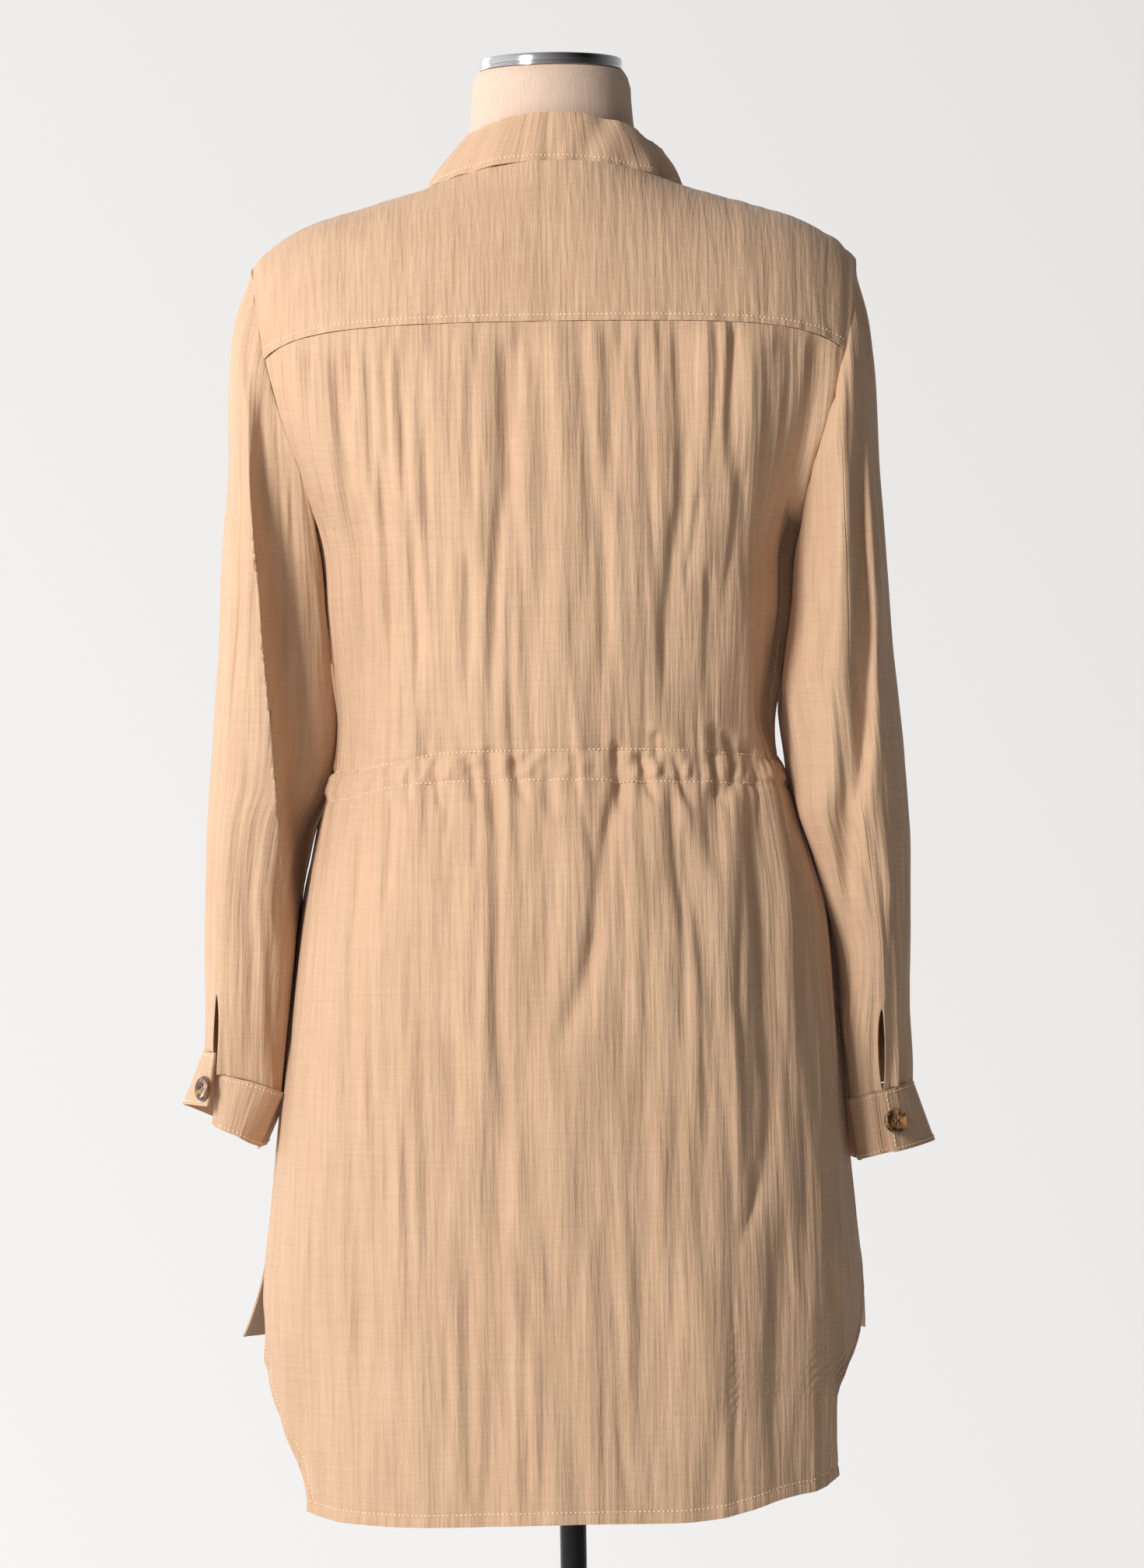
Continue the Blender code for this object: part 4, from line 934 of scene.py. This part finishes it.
# Smaller creases, in the fold columns, with the angle round the sleeve in place of the distance.
SLEEVE_FOLDS = {
    "left": np.array([
        (1.250, 0.960, 48.0, 58.0, 72.0, 7.0, 0.0020, 0.0),
        (1.180, 0.880, 20.0, 34.0, 46.0, 9.0, 0.0016, 0.0),
        (1.060, 0.860, 84.0, 92.0, 104.0, 8.0, 0.0020, 0.2),
        (0.960, 0.850, 66.0, 68.0, 70.0, 6.0, 0.0014, 0.0),
        (0.940, 0.850, 112.0, 120.0, 124.0, 7.0, 0.0016, 0.0),
        (1.300, 1.000, 230.0, 250.0, 240.0, 12.0, 0.0050, 0.0),
        (1.100, 0.870, 290.0, 280.0, 276.0, 11.0, 0.0040, 0.0),
        (1.250, 0.950, 330.0, 322.0, 318.0, 10.0, 0.0026, 0.0),
    ]),
    "right": np.array([
        (1.240, 1.020, 92.0, 106.0, 122.0, 9.0, 0.0030, 0.0),
        (1.160, 0.900, 30.0, 44.0, 60.0, 8.0, 0.0016, 0.0),
        (1.020, 0.860, 96.0, 104.0, 112.0, 8.0, 0.0022, 0.0),
        (0.960, 0.850, 60.0, 62.0, 60.0, 7.0, 0.0022, 0.0),
        (1.300, 1.020, 236.0, 252.0, 246.0, 12.0, 0.0050, 0.0),
        (1.080, 0.870, 284.0, 276.0, 280.0, 11.0, 0.0040, 0.0),
        (1.230, 0.960, 322.0, 330.0, 326.0, 10.0, 0.0026, 0.0),
    ]),
}


def armhole_point(around):
    """Armhole seam on the torso cloth; around is 0 at the shoulder tip, 90 behind, 180 under the arm."""
    s = np.sin(np.radians(around))
    c = np.cos(np.radians(around))
    angle = 90.0 - np.where(s > 0, ARMHOLE_BACK, ARMHOLE_FRONT) * s
    level = ARMHOLE_MIDDLE + ARMHOLE_HALF * c
    point = torso_base(angle, level)
    point[..., 0] += ARMHOLE_STEP
    return point


def torso_half_width(y, level):
    """Half-width of the torso cloth at a distance y behind or ahead of its middle."""
    row = read_all(TORSO_RINGS, RING_COLUMNS, level)
    depth = np.where(y > 0, row["back_depth"], row["front_depth"])
    c = np.clip(np.abs(y) / depth, 0.0, 1.0) ** (1.0 / row["roundness"])
    return row["half_width"] * (1.0 - c * c) ** (row["roundness"] / 2.0)


def sleeve_tube(around, z, side):
    """Plan place of the hanging sleeve: a flattened tube, squarer next to the body, with the left one's
    ridge and the right one's groove down its back."""
    row = read_all(SLEEVE_ROWS, SLEEVE_COLUMNS, z)
    s = np.sin(np.radians(around))
    c = np.cos(np.radians(around))
    left = side["sign"] > 0
    inner = read(SLEEVE_INNER, 1 if left else 2, z)
    slimmer = side["slimmer"] * (1.0 + np.clip((1.0 - z) / 0.12, 0.0, 0.8))
    outer = row["outer"] - slimmer * np.clip((1.375 - z) / 0.02, 0.0, 1.0)
    boxed = np.where((c < 0) & (s > 0), smooth_step((z - 0.98) / 0.12), 0.0)
    square = SLEEVE_ROUNDNESS - boxed * (0.36 if left else -0.10)
    x = (outer + inner) / 2 + np.sign(c) * np.abs(c) ** SLEEVE_ROUNDNESS * (outer - inner) / 2
    y = np.sign(s) * np.abs(s) ** square * row["half_depth"]
    if left:
        past = np.maximum(read(SLEEVE_RIDGE, 1, z) - x, 0.0)
        fall = read(SLEEVE_RIDGE, 2, z)
        y = y - fall * (1.0 - bell(past, 0.0055)) * smooth_step(s / 0.5)
    else:
        place = read(SLEEVE_GROOVE, 1, z)
        depth = read(SLEEVE_GROOVE, 2, z)
        turn = (around - place + 180.0) % 360.0 - 180.0
        turn = np.where(turn > 0, turn * 0.55, turn)
        y = y - depth * bell(turn, GROOVE_WIDTH)
        tuck = read(SLEEVE_TUCK, 1, z)
        y = y - tuck * bell(x - inner, 0.026, 4) * smooth_step(s / 0.5)
    y = row["middle_y"] + y
    body = torso_half_width(y, np.minimum(z, UNDERARM_LEVEL)) + SLEEVE_CLEAR
    return np.maximum(x, body), y


def wrist_level(around, side):
    """Height of the cuff seam: tilted round the wrist, with a step where the slit's two sides meet."""
    first = bell(np.abs(around - side["slit"]), 40.0, 1)
    last = bell(np.abs(side["slit"] + 360.0 - around), 40.0, 1)
    return side["seam"] + side["tilt"] * np.cos(np.radians(around)) + 0.5 * side["step"] * (last - first)


def sleeve_place(around, down, side):
    """Armhole to cuff seam, down from 0 to 1."""
    hole = armhole_point(around)
    reach = hole[..., 2] - wrist_level(around, side)
    z = hole[..., 2] - reach * down
    x, y = sleeve_tube(around, z, side)
    settle = 1.0 - bell(reach * down, 0.018, 1)
    x = hole[..., 0] + (x - hole[..., 0]) * settle
    y = hole[..., 1] + (y - hole[..., 1]) * settle
    return np.stack([x, y, z], axis=-1)


def round_tube(pattern, around, start):
    """A pattern of the angle, blended over the last 60 degrees so that it meets its own start."""
    share = smooth_step((around - start - 300.0) / 60.0)
    return pattern(around) * (1.0 - share) + pattern(around - 360.0) * share


def open_slit(point, around, z, side, top, bottom):
    """Part both edges of the slit by a lens-shaped gap; the cloth near them moves along."""
    turn = np.radians(side["slit"])
    apart = np.array([-np.sin(turn), np.cos(turn), 0.0])
    t = np.clip((top - z) / (top - bottom), 0.0, 1.0)
    gap = SLIT_HALF * np.sqrt(np.sin(np.pi * t))
    first = bell(around - side["slit"], 9.0, 1)
    last = bell(side["slit"] + 360.0 - around, 9.0, 1)
    return point + apart * (gap * (first - last))[..., None]


def plan_direction(around):
    """Level direction outwards at an angle round a sleeve."""
    return np.stack([np.cos(np.radians(around)), np.sin(np.radians(around)), around * 0.0], axis=-1)


def slit_top_place(side):
    """Where the slit begins, in shares of the way from the armhole to the cuff seam."""
    return 1.0 - WRIST_SLIT / (armhole_point(np.array(side["slit"]))[2] - wrist_level(side["slit"], side))


def sleeve_surface(around, down, side, lift=0.0):
    """Point and normal of a sleeve: its tube moved along its normal by creases, crinkle and seams."""
    around, down = grids(around, down)
    point = sleeve_place(around, down, side)
    normal = outward(lambda a, b: sleeve_place(a, b, side), around, down, 1.0, 0.002)
    normal = turned_along(normal, plan_direction(around))
    z = point[..., 2]
    folds = SLEEVE_FOLDS["left" if side["sign"] > 0 else "right"]
    creases = fold_depth((around - side["slit"]) % 360.0 + side["slit"], z, folds)
    creases = creases + fold_depth(around - 360.0, z, folds) + fold_depth(around + 360.0, z, folds)
    seed = side["seed"]
    ripple, pleats, puckers = (round_tube(pattern, around, side["slit"]) for pattern in (
        lambda a: crinkle(np.radians(a) * SLEEVE_RADIUS, z, seed),
        lambda a: soft_noise(np.radians(a) * SLEEVE_RADIUS, z, 0.0065, 0.045, seed + 9),
        lambda a: soft_noise(np.radians(a) * 0.060, z, 0.0050, 0.05, seed + 7)))
    from_hole = down * 0.45
    gathered = 0.0010 * pleats * bell(z - wrist_level(around, side), 0.030, 1)
    seam = 0.0005 * puckers * bell(from_hole, 0.012, 1)
    inner = smooth_step((np.cos(np.radians(around)) + 0.95) / 0.35)
    height = (1.15 * ripple + gathered + seam) * (0.35 + 0.65 * inner)
    height = height - creases * inner * smooth_step(from_hole / 0.02)
    top_z = sleeve_place(np.array(side["slit"]), np.array(slit_top_place(side)), side)[2]
    bottom_z = wrist_level(side["slit"], side)
    from_slit = np.minimum(around - side["slit"], side["slit"] + 360.0 - around) * DEGREE_RUN
    bound = bell(from_slit, 0.0050, 4) * smooth_step((top_z + 0.008 - z) / 0.006)
    point = point + normal * (height + 0.0006 * bound + lift)[..., None]
    return open_slit(point, around, z, side, top_z, bottom_z), normal


def sleeve_grid_angles(side, columns):
    """Angles round the sleeve from one edge of the slit to the other, closer together near it."""
    t = np.linspace(0.0, 1.0, columns)
    return side["slit"] + 360.0 * (t - 0.06 * np.sin(2.0 * np.pi * t) / (2.0 * np.pi) * 1.6)


for side_name, side in SIDES.items():
    around = sleeve_grid_angles(side, 197)[None, :]
    upper = np.linspace(0.0, slit_top_place(side), 131)
    lower = np.linspace(slit_top_place(side), 1.0, 27)[1:]
    down = np.concatenate([upper, lower])[:, None]
    sleeve_points, _ = sleeve_surface(around, down, side)
    sleeve_points[..., 0] *= side["sign"]
    sleeve_uv = flat_uv(np.radians(around) * SLEEVE_RADIUS + side["seed"], sleeve_points[..., 2])
    shell(f"sleeve_{side_name}_cloth", sleeve_points, sleeve_uv, tan_cloth,
                               flip=side["sign"] > 0, weld=0.00002)
    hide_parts(f"sleeve_{side_name}")

# ---------------------------------------------------------------- cuffs and their buttons
# Each cuff is a narrow band of two layers, open at the slit and leaning outwards, with one round brown
# horn button sewn to its outer end through four holes.
CUFF_WALL = 0.0014
CUFF_ROW_INSET = 0.0022   # from the cuff's edges to their rows of thread


def cuff_place(around, v, side):
    """Cuff seam at v 0 to free edge at v 1: the band leans outwards, least at the slit, and its button
    end stands out."""
    top = wrist_level(around, side)
    x, y = sleeve_tube(around, top, side)
    turn = np.abs((around - side["slit"] + 180.0) % 360.0 - 180.0)
    lean = side["lean"] * (side["steady"] + (1.0 - side["steady"]) * smooth_step(turn / 75.0))
    from_outside = np.abs((around + 180.0) % 360.0 - 180.0)
    lean = lean + side["flare"] * bell(from_outside, 48.0)
    from_button_end = (side["slit"] + 360.0 - around) / 45.0
    out = side["flap"] * v * bell(from_button_end, 1.0)
    x = x + lean * v + out * np.cos(np.radians(around))
    y = y + out * np.sin(np.radians(around))
    tucked = CLOTH_WALL * side["lean"] / side["drop"] * np.clip(-np.cos(np.radians(around)), 0.0, 1.0)
    z = top - SEAM_GAP - 1.2 * tucked - side["drop"] * v
    return np.stack([x, y, z], axis=-1)


def cuff_surface(around, v, side, lift=0.0):
    """Point and normal of a cuff: crisp edges, a few soft bends, and one end tucked under the other."""
    around, v = grids(around, v)
    point = cuff_place(around, v, side)
    normal = outward(lambda a, b: cuff_place(a, b, side), around, v, 1.0, 0.02)
    normal = turned_along(normal, plan_direction(around))
    seed = side["seed"] + 40
    bends = soft_noise(around * DEGREE_RUN + 0.4 * v * side["drop"], v, 0.0110, 1.4, seed)
    ripple = crinkle(around * DEGREE_RUN, point[..., 2], seed + 3)
    edge = bell((1.0 - v) * side["drop"], 0.0030, 4)
    under = 0.0024 * smooth_step((side["slit"] + 16.0 - around) / 12.0)
    over = 0.0012 * bell(side["slit"] + 360.0 - around, 7.0)
    height = 0.0006 + 0.0006 * bends + 0.25 * ripple + 0.0003 * edge - under + over
    return point + normal * (height + lift)[..., None], normal


BUTTON_RADIUS = 0.008
BUTTON_HALF = 0.0016
HOLE_PLACE = 0.0019 * 0.7
HOLE_RADIUS = 0.00075
HOLE_DEPTH = 0.0013
BUTTON_FROM_END = 180.0 / 22    # degrees from the cuff's button end to the button


def button_mesh(name, seat, normal, finish):
    """Round button: r and a run over the disc; the face has a rim, a dish and four pits for the holes."""
    r = np.concatenate([np.linspace(0.0, 1.0, 40), np.full(6, 1.0), np.linspace(0.96, 0.0, 8)])
    a = np.linspace(0.0, 2.0 * np.pi, 73)
    radius, turn = np.meshgrid(r, a, indexing="ij")
    x = radius * np.cos(turn) * BUTTON_RADIUS
    y = radius * np.sin(turn) * BUTTON_RADIUS
    dish = 0.0007 * bell(radius, 0.62, 6)
    rim = 0.0003 * bell(radius - 0.84, 0.10)
    soft = 0.0009 * np.clip((radius - 0.90) / 0.10, 0.0, 1.0) ** 2
    top = BUTTON_HALF - dish + rim - soft
    for hole_x, hole_y in ((1, 1), (1, -1), (-1, 1), (-1, -1)):
        off = np.hypot(x - hole_x * HOLE_PLACE, y - hole_y * HOLE_PLACE)
        top = top - HOLE_DEPTH * bell(off, HOLE_RADIUS, 4)
    height = top.copy()
    height[40:46] = np.linspace(top[39, 0], -BUTTON_HALF * 0.7, 6)[:, None]
    height[46:] = -BUTTON_HALF
    frame_z = Vector(normal).normalized()
    frame_x = frame_z.orthogonal().normalized()
    frame_y = frame_z.cross(frame_x)
    centre = np.array(seat) + np.array(normal) * (BUTTON_HALF + 0.0006)
    point = (centre + x[..., None] * np.array(frame_x) + y[..., None] * np.array(frame_y)
             + height[..., None] * np.array(frame_z))
    quads = grid_quads(*x.shape).reshape(-1, 4)[:, ::-1]
    return make_piece(name, point.reshape(-1, 3), quads, finish, weld=0.00001)


def horn_finish(name):
    """Polished brown horn: dark and amber clouds under a clear gloss."""
    finish, tree, shader = new_finish(name, {"Roughness": 0.16, "Coat Weight": 0.5, "Coat Roughness": 0.08})
    ramp = add_node(tree, "ValToRGB", {"Fac": grain(tree, "Object", (210.0, 210.0, 210.0), 3.0)})
    for element, place, colour in zip(ramp.color_ramp.elements, (0.40, 0.66),
                                      ((0.045, 0.020, 0.010, 1.0), (0.42, 0.20, 0.07, 1.0))):
        element.position = place
        element.color = colour
    fill(tree, shader, {"Base Color": ramp.outputs["Color"]})
    return finish


horn = horn_finish("brown horn")
for side_name, side in SIDES.items():
    around = np.concatenate([side["slit"] - np.linspace(7.0, 1.0, 5), sleeve_grid_angles(side, 161)])[None, :]
    v = np.linspace(0.0, 1.0, 21)[:, None]
    cuff_points, _ = cuff_surface(around, v, side)
    cuff_points[..., 0] *= side["sign"]
    cuff_uv = flat_uv(np.radians(around) * SLEEVE_RADIUS + side["seed"] + 1.0, cuff_points[..., 2])
    cuff = shell(f"cuff_{side_name}_cloth", cuff_points, cuff_uv, tan_cloth, flip=side["sign"] > 0,
                 wall=CUFF_WALL)
    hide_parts(f"cuff_{side_name}")
    inset = CUFF_ROW_INSET / side["drop"]
    path_angle = np.linspace(side["slit"] + 3.0, side["slit"] + 357.0, 500)
    path_v = np.linspace(inset, 1.0 - inset, 60)
    cuff_rows = [cuff_surface(*place, side, ON_CLOTH) for place in (
        (path_angle, inset), (path_angle, 1.0 - inset), (side["slit"] + 357.0, path_v))]
    for path, normal in cuff_rows:
        path[..., 0] *= side["sign"]
        normal[..., 0] *= side["sign"]
    cuff_threads = stitch_rows(f"cuff_{side_name}_threads", cuff_rows, thread)
    button_angle = np.array(side["slit"] + 360.0 - BUTTON_FROM_END)
    seat, facing = cuff_surface(button_angle, np.array(side["button"]), side)
    seat[0] *= side["sign"]
    facing[0] *= side["sign"]
    button = button_mesh(f"button_{side_name}", seat, facing, horn)
    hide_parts(f"cuff_button_{side_name}")

# ---------------------------------------------------------------- dress form and stand
# The form is a smooth padded torso under pale stretched jersey, closed by a polished metal neck cap. It
# stands on a round black pole with a turned foot and a heavy flat round base.


def jersey_finish(name):
    """Pale knitted jersey: fine upright ribs and a faint pink-beige mottle."""
    finish, tree, shader = new_finish(name, {"Roughness": 0.9})
    ribs = grain(tree, "Object", (900.0, 900.0, 60.0), 3.0)
    fill(tree, shader, {"Base Color": mixed(tree, ribs, (0.56, 0.39, 0.29), (0.76, 0.58, 0.46)),
                        "Normal": bumped(tree, ribs, 0.35, 0.0004)})
    return finish


def metal_finish(name, colour, roughness, metallic, cells):
    """Bare or painted metal with a slight unevenness in its gloss."""
    finish, tree, shader = new_finish(name, {"Base Color": (*colour, 1.0), "Metallic": metallic})
    gloss = add_node(tree, "MapRange", {"Value": grain(tree, "Object", (cells, cells, cells), 2.0),
                                        "To Min": roughness * 0.8, "To Max": roughness * 1.2})
    fill(tree, shader, {"Roughness": gloss.outputs["Result"]})
    return finish


# Rings of the padded form in the columns of the torso cloth, neck to flat bottom.
FORM_RINGS = np.array([
    (1.4885, 0.0000, 0.0000, 0.0465, 0.0465, 0.0465, 1.00, 0.0000),
    (1.4840, 0.0000, 0.0000, 0.0492, 0.0492, 0.0492, 1.00, 0.0000),
    (1.4660, -0.0010, -0.0040, 0.0515, 0.0500, 0.0505, 1.00, 0.0000),
    (1.4460, -0.0025, -0.0140, 0.0545, 0.0495, 0.0515, 1.00, 0.0000),
    (1.4280, -0.0080, -0.0280, 0.0640, 0.0530, 0.0570, 0.98, 0.0000),
    (1.4120, -0.0042, -0.0400, 0.0830, 0.0610, 0.0650, 0.96, 0.0000),
    (1.3880, 0.0124, -0.0360, 0.1210, 0.0710, 0.0770, 0.93, 0.0000),
    (1.3530, 0.0332, -0.0230, 0.1630, 0.0810, 0.0870, 0.87, 0.0000),
    (1.3180, 0.0435, -0.0130, 0.1870, 0.0880, 0.0930, 0.85, 0.0000),
    (1.2820, 0.0320, -0.0060, 0.1890, 0.0910, 0.0990, 0.84, 0.0000),
    (1.2500, 0.0140, -0.0020, 0.1770, 0.0930, 0.1050, 0.84, 0.0000),
    (1.2200, 0.0020, 0.0000, 0.1600, 0.0930, 0.1090, 0.84, 0.0000),
    (1.1900, 0.0000, 0.0000, 0.1460, 0.0910, 0.1110, 0.85, 0.0000),
    (1.1400, 0.0000, 0.0000, 0.1370, 0.0850, 0.1080, 0.87, 0.0000),
    (1.1000, 0.0000, 0.0000, 0.1300, 0.0780, 0.1000, 0.88, 0.0000),
    (1.0600, 0.0000, 0.0000, 0.1250, 0.0720, 0.0920, 0.90, 0.0000),
    (1.0200, 0.0000, 0.0000, 0.1310, 0.0760, 0.0920, 0.90, 0.0000),
    (0.9650, 0.0000, 0.0000, 0.1480, 0.0920, 0.0960, 0.90, 0.0000),
    (0.8850, 0.0000, 0.0000, 0.1620, 0.1040, 0.1010, 0.90, 0.0000),
    (0.8200, 0.0000, 0.0000, 0.1640, 0.1040, 0.1000, 0.90, 0.0000),
    (0.7800, 0.0000, 0.0000, 0.1600, 0.1000, 0.0960, 0.91, 0.0000),
    (0.7570, 0.0000, 0.0000, 0.1540, 0.0940, 0.0900, 0.92, 0.0000),
])
# Distance from the axis and height along the side of the metal neck cap, with a fine groove round it.
CAP_PROFILE = np.array([
    (0.0300, 1.4977), (0.0438, 1.4968), (0.0452, 1.4963), (0.0458, 1.4948), (0.0458, 1.4918),
    (0.0450, 1.4913), (0.0450, 1.4906), (0.0458, 1.4901), (0.0458, 1.4894), (0.0448, 1.4888),
])


CREASE = 0.7              # radians between two faces that make their edge sharp


def closed_surface(name, point, finish):
    """Quads round and down a grid of rings, closed by a fan at each end."""
    rows, columns = point.shape[:2]
    index = np.arange(rows * columns).reshape(rows, columns)
    right = np.roll(index, -1, axis=1)
    quads = np.stack([index[:-1], index[1:], right[1:], right[:-1]], axis=-1).reshape(-1, 4)
    top, foot = rows * columns, rows * columns + 1
    ends = [(top, index[0, n], right[0, n]) for n in range(columns)]
    ends += [(foot, right[-1, n], index[-1, n]) for n in range(columns)]
    corners = np.concatenate([point.reshape(-1, 3), [point[0].mean(axis=0), point[-1].mean(axis=0)]])
    faces = quads.tolist() + [tuple(int(n) for n in end) for end in ends]
    return make_piece(name, corners, faces, finish, outwards=True,
                      smooth=lambda edge: len(edge.link_faces) == 2 and edge.calc_face_angle() < CREASE)


chrome = metal_finish("chrome", (0.62, 0.62, 0.64), 0.13, 1.0, 60.0)
black_steel = metal_finish("black steel", (0.018, 0.018, 0.020), 0.32, 0.5, 90.0)
jersey = jersey_finish("pale jersey")
form_levels = np.concatenate([np.linspace(FORM_RINGS[0, 0], FORM_RINGS[1, 0], 5)[:-1],
                              np.linspace(FORM_RINGS[1, 0], FORM_RINGS[-1, 0], 110)])[:, None]
form_turn = np.linspace(0.0, 360.0, 145)[None, :-1]
form_turn, form_levels = np.broadcast_arrays(form_turn, form_levels)
form = closed_surface("form_jersey", ring_point(FORM_RINGS, form_turn, form_levels), jersey)
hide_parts("form_torso")
cap_turn = np.radians(form_turn[:1])
cap_rings = np.stack([CAP_PROFILE[:, :1] * np.cos(cap_turn), CAP_PROFILE[:, :1] * np.sin(cap_turn),
                      CAP_PROFILE[:, 1:] + 0.0 * cap_turn], axis=-1)
cap = closed_surface("cap_metal", cap_rings, chrome)
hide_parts("neck_cap")
for node_name in ("form_socket", "stand_pole", "stand_hub", "stand_base"):
    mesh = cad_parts[node_name].data
    mesh.materials.clear()
    mesh.materials.append(black_steel)

# ---------------------------------------------------------------- floor, light and camera
# A pale floor that fades into an even light background, a tall soft light behind the wearer's left
# shoulder, a weaker one ahead of it, and a camera square on to the back.
FLOOR_RADIUS = 3.2


def pale_floor():
    """Round floor sheet that turns transparent towards its edge."""
    finish, tree, shader = new_finish("pale floor", {"Base Color": (0.80, 0.80, 0.79, 1.0), "Roughness": 0.9})
    coords = add_node(tree, "TexCoord", {})
    reach = add_node(tree, "VectorMath", {0: coords.outputs["Object"]}, operation="LENGTH")
    fade = add_node(tree, "MapRange", {"Value": reach.outputs["Value"], "From Min": 0.7,
                                       "From Max": FLOOR_RADIUS * 0.95, "To Min": 1.0, "To Max": 0.0},
                    interpolation_type="SMOOTHSTEP")
    fill(tree, shader, {"Alpha": fade.outputs["Result"]})
    turn = np.linspace(0.0, 2.0 * np.pi, 65)[:-1]
    rim = np.stack([FLOOR_RADIUS * np.cos(turn), FLOOR_RADIUS * np.sin(turn), turn * 0.0], axis=-1)
    mesh = bpy.data.meshes.new("floor")
    mesh.from_pydata(rim, [], [list(range(64))])
    mesh.materials.append(finish)
    made = bpy.data.objects.new("floor", mesh)
    bpy.context.scene.collection.objects.link(made)
    return made


def soft_light(name, place, size, power, aim=(0.0, 0.0, 1.0)):
    lamp = bpy.data.lights.new(name, "AREA")
    lamp.shape = "RECTANGLE"
    lamp.size, lamp.size_y = size
    lamp.energy = power
    made = bpy.data.objects.new(name, lamp)
    made.location = place
    made.rotation_euler = (Vector(aim) - Vector(place)).to_track_quat("-Z", "Y").to_euler()
    bpy.context.scene.collection.objects.link(made)
    return made


pale_floor()
soft_light("key", (1.65, 1.85, 1.95), (0.6, 1.3), 66.0)
soft_light("front", (2.2, -2.4, 1.8), (1.4, 2.0), 26.0)

# The background's strength is the dot product of its direction with the slope, plus the middle.
GLOW_SLOPE = (0.52, -0.30, -0.30)
GLOW_MIDDLE = 0.68
world = bpy.data.worlds.new("studio")
world.use_nodes = True
tree = world.node_tree
coords = add_node(tree, "TexCoord", {})
slope = add_node(tree, "VectorMath", {0: coords.outputs["Generated"], 1: GLOW_SLOPE}, operation="DOT_PRODUCT")
glow = add_node(tree, "Math", {0: slope.outputs["Value"], 1: GLOW_MIDDLE})
fill(tree, tree.nodes["Background"], {"Color": (0.875, 0.862, 0.850, 1.0), "Strength": glow.outputs["Value"]})
bpy.context.scene.world = world
bpy.context.scene.view_settings.view_transform = "Standard"

CAMERA_PLACE = Vector((-0.0065, 4.0, 1.0315))
CAMERA_ROLL = np.radians(0.87)
SENSOR_MM = 36.0
FOCAL_MM = 142.999
to_right = Vector((-1.0, 0.0, 0.0))
upright = Vector((0.0, 0.0, 1.0))
camera_x = to_right * np.cos(CAMERA_ROLL) - upright * np.sin(CAMERA_ROLL)
camera_y = to_right * np.sin(CAMERA_ROLL) + upright * np.cos(CAMERA_ROLL)
camera_z = camera_x.cross(camera_y)
lens = bpy.data.cameras.new("camera")
lens.sensor_width = SENSOR_MM
lens.lens = FOCAL_MM
camera = bpy.data.objects.new("camera", lens)
facing = Matrix((camera_x, camera_y, camera_z)).transposed().to_4x4()
camera.matrix_world = Matrix.Translation(CAMERA_PLACE) @ facing
bpy.context.scene.collection.objects.link(camera)
bpy.context.scene.camera = camera
